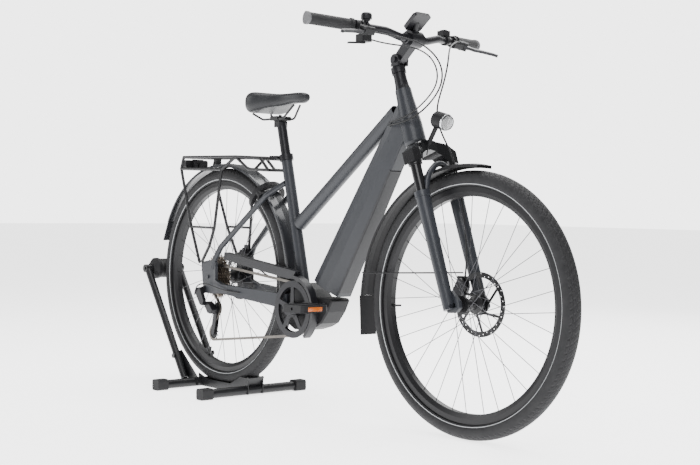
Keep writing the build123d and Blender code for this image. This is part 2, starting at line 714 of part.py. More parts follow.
def crankset():
    """Spindle and both arms in one piece with the pedal axles."""
    body = cross_rod(CRANK_X, CRANK_Z, -76, 76, SPINDLE_D)
    for side in (-1, 1):
        spot = pedal_spot(side)
        low, high = sorted((side * 64, side * 77))
        arm_line = math.radians(CRANK_ANGLE)
        across = (-math.sin(arm_line), math.cos(arm_line))
        points = [(CRANK_X + across[0] * 15, CRANK_Z + across[1] * 15),
            (spot[0] + across[0] * 10, spot[1] + across[1] * 10)]
        points += [(spot[0] - across[0] * 10, spot[1] - across[1] * 10),
            (CRANK_X - across[0] * 15, CRANK_Z - across[1] * 15)]
        arm = side_plate(points, low, high)
        arm += cross_rod(CRANK_X, CRANK_Z, low, high, 34) + cross_rod(*spot, low, high, 24)
        body += arm
        body += cross_rod(*spot, side * 70, side * (PEDAL_FAR - 6), PEDAL_AXLE_D)
        body += cross_rod(*spot, side * 76, side * (PEDAL_NEAR - 1), 15)
    return body


PEDAL_NEAR = 92.0
PEDAL_FAR = 188.0
PEDAL_HALF_LENGTH = 49.0
PEDAL_HEIGHT = 22.0


def pedal(side):
    """Platform pedal with a barrel round its axle and four reflectors."""
    x, z = pedal_spot(side)
    half = PEDAL_HEIGHT / 2
    low, high = sorted((side * PEDAL_NEAR, side * PEDAL_FAR))
    body = block(x - PEDAL_HALF_LENGTH, x + PEDAL_HALF_LENGTH, low, high, z - half, z + half)
    body = fillet(body.edges().filter_by(Axis.Z), 9)
    for end in (-1, 1):
        window = sorted((x + end * 16, x + end * (PEDAL_HALF_LENGTH - 11)))
        body -= block(*window, low + 9, high - 9, z - 40, z + 40)
        pocket = sorted((x + end * (PEDAL_HALF_LENGTH - 3), x + end * (PEDAL_HALF_LENGTH + 3)))
        body -= block(*pocket, low + 20, high - 20, z - 7, z + 7)
    body += cross_rod(x, z, low, high, 24)
    body -= cross_rod(x, z, -300, 300, PEDAL_AXLE_D + 2 * RUNNING_GAP)
    reflectors = []
    for end in (-1, 1):
        plate = sorted((x + end * (PEDAL_HALF_LENGTH - 2.9), x + end * (PEDAL_HALF_LENGTH - 0.4)))
        reflectors.append(block(*plate, low + 20.2, high - 20.2, z - 6.8, z + 6.8))
    return group(body, *reflectors)


def chain_guard():
    """Cover over the upper run of the chain that hooks round the chainring."""
    centre = (CRANK_X, CRANK_Z)
    inner_r = RING_RADIUS + 14
    outer_r = inner_r + 10
    bar = [(74, 464), (70, 440), (300, 410), polar(inner_r, 100, centre), polar(inner_r, 88, centre)]
    bar += [polar(outer_r + 14, 80, centre), polar(outer_r + 16, 92, centre)]
    outline = side_plate(bar, CHAIN_Y - 12, CHAIN_Y + 10)
    hook = Pos(CRANK_X, 0, CRANK_Z) * turned_ring([
        (inner_r, CHAIN_Y - 12), (outer_r, CHAIN_Y - 12), (outer_r, -MOTOR_HALF - SEAT_GAP), (inner_r,
            -MOTOR_HALF - SEAT_GAP)])
    keep = side_plate([centre, polar(300, 95, centre), polar(400, 45, centre), polar(300, -10, centre),
        polar(300, -52, centre)], -100, 0)
    shape = outline + (hook & keep)
    shape -= rod((280, -45, 652), (62, -67, 481), STAY_D + 2 * SEAT_GAP)
    shape -= motor_blank(SEAT_GAP) + seat_tube_blank()
    return biggest(shape)


def build_transmission():
    write("chain", chain())
    write("cassette", cassette())
    write("chainring", chainring())
    write("crankset", crankset())
    write("pedal_right", pedal(-1))
    write("pedal_left", pedal(1))
    write("derailleur", derailleur())
    write("jockey_upper", jockey(UPPER_JOCKEY))
    write("jockey_lower", jockey(LOWER_JOCKEY))
    write("chain_guard", chain_guard())


# ---------------------------------------------------------------- rear carrier, guard, light, lock

GUARD_HALF = 30.0
GUARD_SKIN = 1.8
REAR_GUARD_R = 375.0
REAR_GUARD_FROM = -4.0
REAR_GUARD_TO = 152.0


def guard_band(radius, centre, start, end, skin=GUARD_SKIN):
    """Curved mudguard strip between two angles, with turned-down edges."""
    half = GUARD_HALF
    outline = [(radius - 9, half), (radius - 2, half), (radius, half - 4), (radius + 2, 0)]
    outline += [(radius, -half + 4), (radius - 2, -half), (radius - 9, -half)]
    inside = [(r - skin * 0.2, y * (half - skin) / half) for r, y in outline[:1]]
    inside += [(radius - 2, half - skin), (radius - skin, half - 4 - skin), (radius + 2 - skin, 0)]
    inside += [(radius - skin, -half + 4 + skin), (radius - 2, -half + skin)]
    inside += [(radius - 9 - skin * 0.2, -half + skin)]
    section = Polygon(*(outline + inside[::-1]), align=None)
    face = Rot(0, -start, 0) * section
    band = revolve(face, Axis.Y, -(end - start))
    return Pos(centre[0], 0, centre[1]) * band


def mudguard_rear():
    """Rear mudguard with a small flap at its tail."""
    band = guard_band(REAR_GUARD_R, REAR_AXLE, REAR_GUARD_FROM, REAR_GUARD_TO)
    band -= seat_tube_blank() + motor_blank(2)
    flap = []
    for reach, turn in ((-2.5, 0.06), (1.0, 0.06), (4.0, 11.0), (0.5, 11.0)):
        flap.append(polar(REAR_GUARD_R + reach, REAR_GUARD_TO + turn, REAR_AXLE))
    return group(biggest(band), side_plate(flap, -26, 26))


RACK_TUBE_D = 10.0
RACK_UPPER = [(-171.0, 65.0, 780.0), (130.0, 60.0, 776.0), (245.0, 44.0, 768.0)]
RACK_LOWER = [(-186.0, 65.0, 741.0), (57.0, 65.0, 735.0), (130.0, 60.0, 776.0), (192.0, 53.0, 735.0)]
RACK_LOWER += [(282.0, 40.0, 731.0), (245.0, 44.0, 768.0)]
RACK_LEGS = [
    [(-186.0, 65.0, 741.0), (-107.0, 73.0, 544.0), (-44.0, 80.4, 428.0)],
    [(57.0, 65.0, 735.0), (31.0, 73.0, 543.0), (14.0, 80.4, 483.0), (-28.0, 80.4, 431.0)],
]
RACK_TIES = [(-186.0, 65.0, 741.0), (-171.0, 65.0, 780.0), (-60.0, 63.0, 778.5), (130.0, 60.0, 776.0)]
RACK_TIES += [(245.0, 44.0, 768.0), (282.0, 40.0, 731.0)]


def rack():
    """Luggage carrier: two side frames of bent rod joined by cross bars."""
    bars = []
    for side in (-1, 1):
        lines = [RACK_UPPER, RACK_LOWER, *RACK_LEGS, RACK_TIES[:2]]
        for line in lines:
            points = [(x, side * y, z) for x, y, z in line]
            for start, end in zip(points, points[1:]):
                bars.append(rod(start, end, RACK_TUBE_D))
                bars.append(Pos(*end) * Sphere(RACK_TUBE_D / 2))
        bars.append(rod((-107, side * 73, 544), (31, side * 73, 543), 8))
    for x, y, z in RACK_TIES:
        bars.append(cross_rod(x, z, -y, y, RACK_TUBE_D))
        bars.append(Pos(x, -y, z) * Sphere(RACK_TUBE_D / 2))
        bars.append(Pos(x, y, z) * Sphere(RACK_TUBE_D / 2))
    bars.append(block(-66, -54, -10, 10, 745, 778))
    shape = bars[0].fuse(*bars[1:])
    shape -= guard_envelope()
    shape -= seat_tube_blank()
    for side in (-1, 1):
        low, high = sorted((side * 60, side * 75.4))
        shape -= stay_envelope(side)
        shape -= block(-60, 60, low, high, 380, 470)
    return biggest(shape)


def guard_envelope():
    """Space of the rear mudguard, kept clear by the carrier."""
    low = REAR_GUARD_R - 12
    high = REAR_GUARD_R + 2 + SEAT_GAP
    ring = turned_ring([(low, -31), (high, -31), (high, 31), (low, 31)])
    return Pos(0, 0, REAR_AXLE_Z) * ring


def stay_envelope(side):
    """Envelope of a seat stay, used to trim what is bolted to it."""
    points = [(x, side * y, z) for x, y, z in STAY_POINTS]
    return bent_tube(points, STAY_D + 2 * SEAT_GAP, [30, 40, 25])


def tail_light():
    """Rear light under the back of the carrier."""
    body = block(-212, -188, -45, 45, 744, 772)
    body = fillet(body.edges().filter_by(Axis.X), 8)
    arm = block(-188, -178, -20, 20, 747, 774)
    return (body + arm) - cross_rod(-186, 741, -90, 90, 10.2) - rod((-186, 0, 741), (-171, 0, 780),
        10.2) - cross_rod(-171, 780, -90, 90, 10.2)


LOCK_ANGLE = 50.0
LOCK_CENTRE_R = 345.0
LOCK_INNER_R = 46.0
LOCK_OUTER_R = 61.0


def lock_plane():
    """Plane of the ring lock: X away from the axle, Y across, Z forward along the tyre."""
    spot = polar(LOCK_CENTRE_R, LOCK_ANGLE, REAR_AXLE)
    out = polar(1.0, LOCK_ANGLE)
    return Plane(origin=(spot[0], 0, spot[1]), x_dir=(out[0], 0, out[1]), z_dir=(out[1], 0, -out[0]))


def ring_lock():
    """Horseshoe frame lock round the rear tyre with its key barrel."""
    ring = Circle(LOCK_OUTER_R) - Circle(LOCK_INNER_R)
    ring -= Pos(-LOCK_OUTER_R - 14, 0) * Rectangle(2 * LOCK_OUTER_R, 2 * LOCK_INNER_R)
    case = extrude(Pos(0, 0, -8) * ring, amount=16)
    slot = Circle(LOCK_OUTER_R + 1) - Circle(LOCK_OUTER_R - 5)
    wedge = Polygon((0, 0), *[polar(90, angle) for angle in (-112, -80, -45, -18)], align=None)
    case -= extrude(Pos(0, 0, -3) * (slot & wedge), amount=6)
    barrel = Pos(28, 52, 8) * Cylinder(9, 20, align=(Align.CENTER, Align.CENTER, Align.MIN))
    shape = lock_plane() * biggest(case + barrel)
    for side in (-1, 1):
        foot = (258, side * 47, 634)
        shape += rod((248, side * 51, 655), foot, 8)
        shape -= stay_envelope(side)
    return biggest(shape)


def ring_lock_lever():
    """Lever that slides round the lock's slot."""
    ring = Circle(LOCK_OUTER_R - 0.5) - Circle(LOCK_OUTER_R - 4.6)
    wedge = Polygon((0, 0), *[polar(90, angle) for angle in (-44, -30)], align=None)
    shoe = extrude(Pos(0, 0, -2.6) * (ring & wedge), amount=5.2)
    grip = Rot(0, 0, -37) * Pos(LOCK_OUTER_R + 7, 0, 0) * Box(18, 9, 5.2)
    return lock_plane() * (shoe + grip)


def build_rear():
    write("mudguard_rear", mudguard_rear())
    write("rack", rack())
    write("tail_light", tail_light())
    write("ring_lock", ring_lock())
    write("ring_lock_lever", ring_lock_lever())


# ---------------------------------------------------------------- seat group

POST_TOP_SHARE = -0.245     # the post's head, above the seat tube's top
POST_FOOT_SHARE = 0.52
RAIL_D = 7.0
RAIL_HALF = 22.0
CLAMP_X = 290.0
CLAMP_Z = 893.0
DRUM_Z = 891.0        # the saddle tilts about this height
DRUM_D = 30.0


def seat_clamp():
    """Split collar round the top of the seat tube, with its bolt lugs at the back."""
    axis_up = seat_axis(-0.008)
    axis_low = seat_axis(0.034)
    outer = SEAT_TUBE_D + 9
    collar = rod(axis_low, axis_up, outer)
    lug = block(LEVER_X - 7, SEAT_TOP[0] - 14, -8, 8, LEVER_Z - 6, LEVER_Z + 6)
    collar += lug
    collar -= seat_tube_blank()
    collar -= rod(seat_axis(-0.05), seat_axis(0.10), SEAT_TUBE_D + 2 * SEAT_GAP)
    collar -= block(LEVER_X - 20, SEAT_TOP[0] - 10, -1, 1, LEVER_Z - 30, LEVER_Z + 30)
    collar -= cross_rod(LEVER_X, LEVER_Z, -20, 20, 5 + 2 * RUNNING_GAP)
    return collar


LEVER_X = SEAT_TOP[0] - 29.0
LEVER_Z = SEAT_TOP[2] - 5.0


def seat_lever():
    """Quick-release lever of the seat clamp, on its cross bolt."""
    bolt = cross_rod(LEVER_X, LEVER_Z, -17, 12, 5)
    bolt += cross_rod(LEVER_X, LEVER_Z, -19, -8.4, 13)
    bolt += cross_rod(LEVER_X, LEVER_Z, 8.4, 14, 11)
    outline = [(LEVER_X + 4, LEVER_Z - 5), (LEVER_X, LEVER_Z + 6), (LEVER_X - 34, LEVER_Z + 7),
        (LEVER_X - 36, LEVER_Z - 1)]
    blade = side_plate(outline, -19, -13)
    return bolt + blade


def seat_post():
    """Seat post with the lower half of its saddle clamp."""
    post = rod(seat_axis(POST_FOOT_SHARE), seat_axis(POST_TOP_SHARE), POST_D)
    post -= rod(seat_axis(POST_FOOT_SHARE), seat_axis(POST_TOP_SHARE + 0.05), POST_D - 5)
    top = seat_axis(POST_TOP_SHARE)
    head = block(top[0] - 22, top[0] + 14, -16, 16, top[2] - 14, CLAMP_Z - 8.5)
    head = fillet(head.edges().filter_by(Axis.Z), 6)
    return post + head - cross_rod(CLAMP_X, DRUM_Z, -30, 30, DRUM_D + 2 * RUNNING_GAP)


def saddle_rails():
    """Two seat rails and the clamp halves that grip them."""
    line = [(190.0, 913.2), (226.0, 893.0), (332.0, 893.0), (375.0, 934.0)]
    bars = []
    for side in (-1, 1):
        spread = [side * (RAIL_HALF + 14), side * RAIL_HALF, side * RAIL_HALF, side * 12]
        points = [(x, y, z) for (x, z), y in zip(line, spread)]
        bars.append(bent_tube(points, RAIL_D, [25, 25]))
    clamp = block(CLAMP_X - 19, CLAMP_X + 19, -28, 28, CLAMP_Z - 5, CLAMP_Z + 9)
    clamp = fillet(clamp.edges().filter_by(Axis.Y), 4)
    for side in (-1, 1):
        clamp -= rod((CLAMP_X - 40, side * RAIL_HALF, 893), (CLAMP_X + 40, side * RAIL_HALF, 893),
            RAIL_D + 2 * SEAT_GAP)
    clamp += cross_rod(CLAMP_X, DRUM_Z, -15, 15, DRUM_D) & block(200, 400, -16, 16, 800, CLAMP_Z)
    bolt = rod((CLAMP_X - 2, 0, CLAMP_Z), (CLAMP_X - 2, 0, CLAMP_Z + 14), 10)
    return group(clamp + bolt, *bars)


def saddle():
    """Padded saddle as one closed solid: broad at the back, narrow at the nose."""
    stations = [(174, 38, 927, 958), (190, 66, 917, 976), (218, 81, 915, 980), (250, 74, 922, 977)]
    stations += [(300, 38, 932, 972), (350, 23, 938, 972), (400, 19, 938, 972), (428, 12, 946, 966)]
    sections = []
    for x, half, low, high in stations:
        middle = (low + high) / 2
        shape = RectangleRounded(2 * half, high - low, min(half, (high - low) / 2) * 0.82)
        sections.append(Plane(origin=(x, 0, middle), x_dir=(0, 1, 0), z_dir=(1, 0, 0)) * shape)
    return loft(sections)


def build_seat():
    write("seat_clamp", seat_clamp())
    write("seat_lever", seat_lever())
    write("seat_post", seat_post())
    write("saddle_rails", saddle_rails())
    write("saddle", saddle())


# ---------------------------------------------------------------- fork and front guard

CROWN_TOP = -HEAD_LENGTH - 0.4
SOCKET_TOP = -204.0
SOCKET_LOW = -245.0
AXLE_AHEAD = 58.7
AXLE_UP = -648.2
FRONT_GUARD_CENTRE = (1130.0, 350.0)
FRONT_GUARD_R = 388.0
FRONT_GUARD_FROM = 83.0
FRONT_GUARD_TO = 178.0


def local_rod(start, end, diameter):
    """Round bar given by (ahead, across, up) points on the steering axis."""
    return rod(steer_point(*start), steer_point(*end), diameter)


def fork_crown():
    """Steerer, arched crown and the two stanchions."""
    steerer = local_rod((0, 0, CROWN_TOP - 20), (0, 0, STEM_PIVOT_UP - 8), STEERER_D)
    crown_base = HEAD_PLANE * (Pos(4, 0, CROWN_TOP - 11) * Cylinder(29, 22))
    plan = [(-14, 26), (12, 38), (22, 60), (22, 88), (62, 88), (62, 60), (48, 30), (48, 0)]
    plan += [(x, -y) for x, y in reversed(plan[:-1])]
    front = [(0, -1), (24, -3), (52, -14), (88, -36), (88, -72), (50, -64), (38, -46), (20, -34), (0, -30)]
    front += [(-y, up) for y, up in reversed(front[1:-1])]
    slab = extrude(Pos(0, 0, CROWN_TOP - 90) * Polygon(*plan, align=None), amount=90, dir=(0, 0, 1))
    curve = Polygon(*[(y, CROWN_TOP + up) for y, up in front], align=None)
    slab &= extrude(Plane(origin=(-20, 0, 0), x_dir=(0, 1, 0), z_dir=(1, 0, 0)) * curve, amount=100,
        dir=(1, 0, 0))
    crown = HEAD_PLANE * slab
    crown += crown_base
    for side in (-1, 1):
        y = side * STANCHION_HALF
        crown += local_rod((CROWN_OFFSET, y, SOCKET_LOW), (CROWN_OFFSET, y, SOCKET_TOP), STANCHION_D + 9)
        crown += local_rod((CROWN_OFFSET, y, -540), (CROWN_OFFSET, y, SOCKET_LOW + 9), STANCHION_D)
        crown += local_rod((CROWN_OFFSET, y, SOCKET_TOP - 6), (CROWN_OFFSET, y, SOCKET_TOP + 4), 24)
    whole = crown + steerer
    whole -= local_rod((0, 0, CROWN_TOP - 60), (0, 0, STEM_PIVOT_UP), STEERER_D - 5)
    for side in (-1, 1):
        y = side * STANCHION_HALF
        whole -= local_rod((CROWN_OFFSET, y, -600), (CROWN_OFFSET, y, SOCKET_LOW + 2), STANCHION_D - 5)
    return whole


def fork_lowers():
    """Sliding lower legs joined by the arch, with dropouts and the wheel's axle."""
    legs = []
    for side in (-1, 1):
        y = side * STANCHION_HALF
        top = steer_point(CROWN_OFFSET, y, LEG_TOP_W)
        foot = steer_point(CROWN_OFFSET, y, -655)
        leg = taper(top, foot, LEG_D, LEG_D - 9)
        leg += local_rod((CROWN_OFFSET, y, LEG_TOP_W - 16), (CROWN_OFFSET, y, LEG_TOP_W), LEG_D + 3)
        outline = [(26, -600), (58, -606), (76, -640), (74, -660), (56, -668), (28, -660)]
        low, high = sorted((side * 50.6, side * 62))
        plate = Polygon(*outline, align=None)
        plate = fillet(plate.vertices(), 5)
        leg += extrude(HEAD_PLANE * (Plane.XZ * plate).moved(Location((0, low, 0))), amount=high - low,
            dir=(0, 1, 0))
        legs.append(leg)
    arch_points = [(CROWN_OFFSET + 6, -STANCHION_HALF + 6, LEG_TOP_W - 12), (62, -52, LEG_TOP_W + 42),
        (72, 0, LEG_TOP_W + 84)]
    arch_points += [(62, 52, LEG_TOP_W + 42), (CROWN_OFFSET + 6, STANCHION_HALF - 6, LEG_TOP_W - 12)]
    arch = bent_tube([steer_point(*point) for point in arch_points], 17)
    lowers = legs[0] + legs[1] + arch
    for side in (-1, 1):
        y = side * STANCHION_HALF
        bore = STANCHION_D + 2 * RUNNING_GAP
        lowers -= local_rod((CROWN_OFFSET, y, -605), (CROWN_OFFSET, y, LEG_TOP_W + 40), bore)
    axle_hole = local_rod((AXLE_AHEAD, -100, AXLE_UP), (AXLE_AHEAD, 100, AXLE_UP), AXLE_D + 2 * SEAT_GAP)
    lowers -= axle_hole
    axle = local_rod((AXLE_AHEAD, -62, AXLE_UP), (AXLE_AHEAD, 62, AXLE_UP), AXLE_D)
    axle += local_rod((AXLE_AHEAD, -67, AXLE_UP), (AXLE_AHEAD, -62.1, AXLE_UP), 20)
    axle -= local_rod((CROWN_OFFSET, -STANCHION_HALF, -700), (CROWN_OFFSET, -STANCHION_HALF, -600), LEG_D)
    return group(biggest(lowers), biggest(axle))


def caliper(centre, y, outward):
    """Disc brake caliper: a body slotted for the disc, pads inside the slot."""
    body = Box(58, 24, 34)
    body = fillet(body.edges().filter_by(Axis.Y), 9)
    body -= Pos(0, 0, -8) * Box(80, 5.0, 34)
    for side in (-1, 1):
        body += Pos(0, side * 1.95, -6) * Box(26, 1.1, 18)
        body += Pos(side * 24, 0, 13) * Cylinder(6, 12)
    return Pos(centre[0], y, centre[1]) * Rot(0, outward, 0) * body


def caliper_front():
    """Front caliper on a bracket behind the left fork leg."""
    spot = polar(FRONT_ROTOR_R - 8, 152, FRONT_AXLE)
    body = caliper(spot, FRONT_ROTOR_Y, -62)
    arm_end = polar(FRONT_ROTOR_R + 10, 138, FRONT_AXLE)
    body += block(arm_end[0] - 16, arm_end[0] + 20, FRONT_ROTOR_Y + 2.6, FRONT_ROTOR_Y + 12,
        arm_end[1] - 14, arm_end[1] + 8)
    leg = local_rod((CROWN_OFFSET, STANCHION_HALF, -680), (CROWN_OFFSET, STANCHION_HALF, LEG_TOP_W),
        LEG_D + 2 * SEAT_GAP)
    return biggest(body - leg)


def caliper_rear():
    """Rear caliper in the corner between the left stays."""
    spot = polar(REAR_ROTOR_R - 7, 62, REAR_AXLE)
    body = caliper(spot, REAR_ROTOR_Y, 28)
    arm = block(18, 46, REAR_ROTOR_Y + 3, REAR_ROTOR_Y + 11, 452, 486)
    body += arm
    return biggest(body - stay_envelope(1) - rear_triangle(1))


def mudguard_front():
    """Front mudguard, its rubber flap and the stays to the fork."""
    band = guard_band(FRONT_GUARD_R, FRONT_GUARD_CENTRE, FRONT_GUARD_FROM, FRONT_GUARD_TO)
    top_x, top_z = polar(FRONT_GUARD_R, FRONT_GUARD_TO, FRONT_GUARD_CENTRE)
    top_z -= 0.3
    flap = side_plate([(top_x - 2, top_z), (top_x + 1, top_z), (752, 250), (749, 250)], -GUARD_HALF,
        GUARD_HALF)
    arch_keep = [(CROWN_OFFSET + 6, -STANCHION_HALF + 6, LEG_TOP_W - 12), (62, -52, LEG_TOP_W + 42),
        (72, 0, LEG_TOP_W + 84)]
    arch_keep += [(62, 52, LEG_TOP_W + 42), (CROWN_OFFSET + 6, STANCHION_HALF - 6, LEG_TOP_W - 12)]
    arch = bent_tube([steer_point(*point) for point in arch_keep], 17 + 2 * SEAT_GAP)
    stays = []
    for side in (-1, 1):
        foot = (1071, side * 45.5, 444)
        guard_spot = polar(FRONT_GUARD_R - 4, 168, FRONT_GUARD_CENTRE)
        bend = (guard_spot[0] + 30, side * (GUARD_HALF + 7), guard_spot[1])
        tip = (guard_spot[0] - 2, side * (GUARD_HALF + 2.2), guard_spot[1])
        stays.append(rod(foot, bend, 4) + rod(bend, tip, 4))
    return group(biggest(band - arch), flap, *stays)


# ---------------------------------------------------------------- stem, bar and controls

STEM_PIVOT_UP = 87.0
BAR_CENTRE = (901.0, 0.0, 1091.0)
BAR_POINTS = [(901.0, 0.0, 1091.0), (899.0, 50.0, 1093.0), (892.0, 104.0, 1106.0), (825.4, BAR_HALF, 1118.9)]


def stem():
    """Spacers, the clamp on the steerer, and the angled arm that holds the bar."""
    bore_r = STEERER_D / 2 + SEAT_GAP
    spacers = along_steerer([(bore_r, 0.3), (HEAD_TOP_D / 2 - 1, 0.3), (20, 10), (18.5, 30), (18, 50),
        (bore_r, 50)])
    base = along_steerer([(bore_r, 50.2), (21, 50.2), (21, STEM_PIVOT_UP - 18), (bore_r, STEM_PIVOT_UP - 18)])
    pivot = steer_point(12, 0, STEM_PIVOT_UP)
    fork_sides = []
    for side in (-1, 1):
        low, high = sorted((side * 13, side * 21))
        ear = side_plate([(pivot[0] - 14, pivot[2] - 20), (pivot[0] + 15, pivot[2] - 16),
            (pivot[0] + 15, pivot[2] + 4), (pivot[0] - 10, pivot[2] + 10)], low, high)
        ear += cross_rod(pivot[0], pivot[2], low, high, 32)
        fork_sides.append(ear)
    base = base + fork_sides[0] + fork_sides[1]
    base -= along_steerer([(0, 40), (bore_r, 40), (bore_r, STEM_PIVOT_UP + 2), (0, STEM_PIVOT_UP + 2)])
    run = Vector(BAR_CENTRE[0] - pivot[0], 0, BAR_CENTRE[2] - pivot[2])
    along = run.normalized()
    across = Vector(-along.Z, 0, along.X)
    corners = []
    for reach, rise in ((0, 14), (1, 17), (1, -17), (0, -14)):
        corner = Vector(pivot[0], 0, pivot[2]) + run * reach + across * rise
        corners.append((corner.X, corner.Z))
    arm = side_plate(corners, -12.6, 12.6) + cross_rod(pivot[0], pivot[2], -12.6, 12.6, 29)
    arm += cross_rod(BAR_CENTRE[0], BAR_CENTRE[2], -23, 23, 47)
    arm -= cross_rod(BAR_CENTRE[0], BAR_CENTRE[2], -40, 40, BAR_CLAMP_D + 2 * SEAT_GAP)
    arm -= cross_rod(pivot[0], pivot[2], -30, 30, 8 + 2 * SEAT_GAP)
    base -= cross_rod(pivot[0], pivot[2], -30, 30, 8 + 2 * SEAT_GAP)
    arm -= local_rod((0, 0, 0), (0, 0, STEM_PIVOT_UP - 6), STEERER_D + 2 * SEAT_GAP)
    bolt = cross_rod(pivot[0], pivot[2], -21.1, 21.1, 8)
    bolt += cross_rod(pivot[0], pivot[2], -27, -21.1, 17) + cross_rod(pivot[0], pivot[2], 21.1, 25, 17)
    return group(biggest(spacers), biggest(base), biggest(arm), bolt)


def handlebar():
    """Swept bar, thicker where the stem clamps it."""
    half = [tuple(point) for point in BAR_POINTS]
    route = mirrored(half[:0:-1]) + half[1:]
    bar = bent_tube(route, BAR_D, [60, 60, 60, 60])
    sleeve = cross_rod(BAR_CENTRE[0] - 4.0, BAR_CENTRE[2] + 2.0, -36, 36, BAR_CLAMP_D)
    return Pos(4.0, 0, -2.0) * (bar + sleeve)


BAR_SHIFT = (4.0, -2.0)


def bar_line(side, y):
    """Centre of the bar at a distance from the middle, with its direction."""
    inner = Vector(*BAR_POINTS[2])
    outer = Vector(*BAR_POINTS[3])
    share = (y - inner.Y) / (outer.Y - inner.Y)
    point = inner + (outer - inner) * share
    return (point.X + BAR_SHIFT[0], side * point.Y, point.Z + BAR_SHIFT[1])


GRIP_START = BAR_HALF + 1.5 - GRIP_LENGTH


def grips():
    """Rubber grips with flared inner and outer collars."""
    bodies = []
    for side in (-1, 1):
        start = bar_line(side, GRIP_START)
        end = bar_line(side, GRIP_START + GRIP_LENGTH)
        body = rod(start, end, GRIP_D)
        body += rod(start, bar_line(side, GRIP_START + 8), GRIP_D + 5)
        body += rod(bar_line(side, GRIP_START + GRIP_LENGTH - 8), end, GRIP_D + 3)
        body -= rod(bar_line(side, GRIP_START - 20), bar_line(side, BAR_HALF + SEAT_GAP),
            BAR_D + 2 * SEAT_GAP)
        bodies.append(body)
    return group(*bodies)


LEVER_PIVOT = (40.0, 205.0, -16.0)    # from the bar: ahead, across, up


def lever_pivot(side):
    """Place of a brake lever's pivot."""
    x, y, z = bar_line(side, LEVER_PIVOT[1])
    return (x + LEVER_PIVOT[0], y, z + LEVER_PIVOT[2])


LEVER_TILT = 28.0     # brake levers point down from level, degrees
LEVER_SWING_AXIS = (math.sin(math.radians(LEVER_TILT)), 0.0, math.cos(math.radians(LEVER_TILT)))


def lever_plane(side):
    """Plane in which a brake lever swings: X away from the bar, Y outward on the left."""
    ahead = (math.cos(math.radians(LEVER_TILT)), 0, -math.sin(math.radians(LEVER_TILT)))
    return Plane(origin=lever_pivot(side), x_dir=ahead, z_dir=LEVER_SWING_AXIS)


def brake_lever(side):
    """Blade of a brake lever with a hooked tip."""
    points = [(-6, -7), (6, -7), (26, 20), (29, 52), (38, 92), (46, 103), (40, 109), (31, 98), (19, 53),
        (14, 24), (-6, 8)]
    outline = Polygon(*[(x, side * y) for x, y in points], align=None)
    outline = fillet(outline.vertices(), 1.5)
    blade = extrude(Pos(0, 0, -4) * outline, amount=8, dir=(0, 0, 1))
    blade += Cylinder(8, 9)
    blade -= Cylinder(3 + RUNNING_GAP, 30)
    return lever_plane(side) * blade


def brake_body(side):
    """Master cylinder, its bar clamp and the lever's pivot fork."""
    body = Pos(-2, side * -22, 0) * Box(17, 46, 22)
    body = fillet(body.edges().filter_by(Axis.Y), 6)
    for level in (-1, 1):
        body += Pos(0, 0, level * 8.5) * Cylinder(9.5, 7)
        body += Pos(-3, side * -10, level * 8.5) * Box(16, 24, 7)
    body -= Pos(2, side * 20, 0) * Box(60, 46, 9.8)
    body -= Cylinder(10.5, 9.8)
    body += Cylinder(3, 20)
    placed = lever_plane(side) * body
    near = bar_line(side, 185)
    far = bar_line(side, 197)
    ring = rod(near, far, BAR_D + 11)
    mid = bar_line(side, 193)
    neck = rod(mid, (mid[0] + 26, mid[1], mid[2] - 11), 10)
    placed += ring + neck
    placed -= rod(bar_line(side, 150), bar_line(side, 220), BAR_D + 2 * SEAT_GAP)
    return placed


def shifter_spot():
    """Middle of the shifter pod under the right end of the bar."""
    x, y, z = bar_line(-1, 163)
    return (x - 8, y, z - 29)


def controls_right():
    """Right brake master with the gear shifter's pod below the bar."""
    x, y, z = shifter_spot()
    pod = Pos(x, y, z) * Box(40, 34, 20)
    pod = fillet(pod.edges().filter_by(Axis.Z), 9)
    ring = rod(bar_line(-1, 171), bar_line(-1, 179), BAR_D + 8)
    pod += ring
    pod += rod((x, y - 12, z), (x, y - 12, z + 20), 7)
    pod -= rod(bar_line(-1, 130), bar_line(-1, 200), BAR_D + 2 * SEAT_GAP)
    pod += rod((x, y - 4, z - 13.5), (x, y - 4, z - 9), 6)
    return group(brake_body(-1), pod)


def shift_lever():
    """Thumb paddle of the shifter, turning under the pod."""
    x, y, z = shifter_spot()
    hub_part = rod((x, y - 4, z - 15), (x, y - 4, z - 10.4), 16)
    paddle = Polygon((x - 5, y - 4), (x + 5, y - 4), (x - 22, y - 34), (x - 34, y - 30), align=None)
    hub_part += extrude(Pos(0, 0, z - 15) * paddle, amount=4.6, dir=(0, 0, 1))
    return hub_part - rod((x, y - 4, z - 20), (x, y - 4, z), 6 + 2 * RUNNING_GAP)


def remote_spot():
    """Middle of the display remote on the left side of the bar."""
    x, y, z = bar_line(1, 148)
    return (x - 6, y, z + 20)


def controls_left():
    """Left brake master with the display's remote beside the grip."""
    x, y, z = remote_spot()
    pod = Pos(x, y, z) * Box(34, 26, 15)
    pod = fillet(pod.edges().filter_by(Axis.Z), 6)
    pod -= Pos(x, y, z + 7) * Box(18.6, 12.6, 6)
    ring = rod(bar_line(1, 142), bar_line(1, 154), BAR_D + 8)
    pod += ring
    pod -= rod(bar_line(1, 118), bar_line(1, 180), BAR_D + 2 * SEAT_GAP)
    return group(brake_body(1), pod)


def remote_button():
    """Push button in the remote's pocket."""
    x, y, z = remote_spot()
    return Pos(x, y, z + 8.3) * Box(18, 12, 5)


def display():
    """Slim screen ahead of the stem on a bracket from the bar."""
    body = Box(62, 60, 11)
    body = fillet(body.edges().filter_by(Axis.Z), 8)
    placed = Pos(915, 0, 1139) * Rot(0, -39, 0) * body
    placed += rod((906, 0, 1110), (914, 0, 1136), 14)
    placed += block(896, 914, -7, 7, 1106, 1116)
    placed -= cross_rod(BAR_CENTRE[0], BAR_CENTRE[2], -60, 60, 47 + 2 * SEAT_GAP)
    return placed


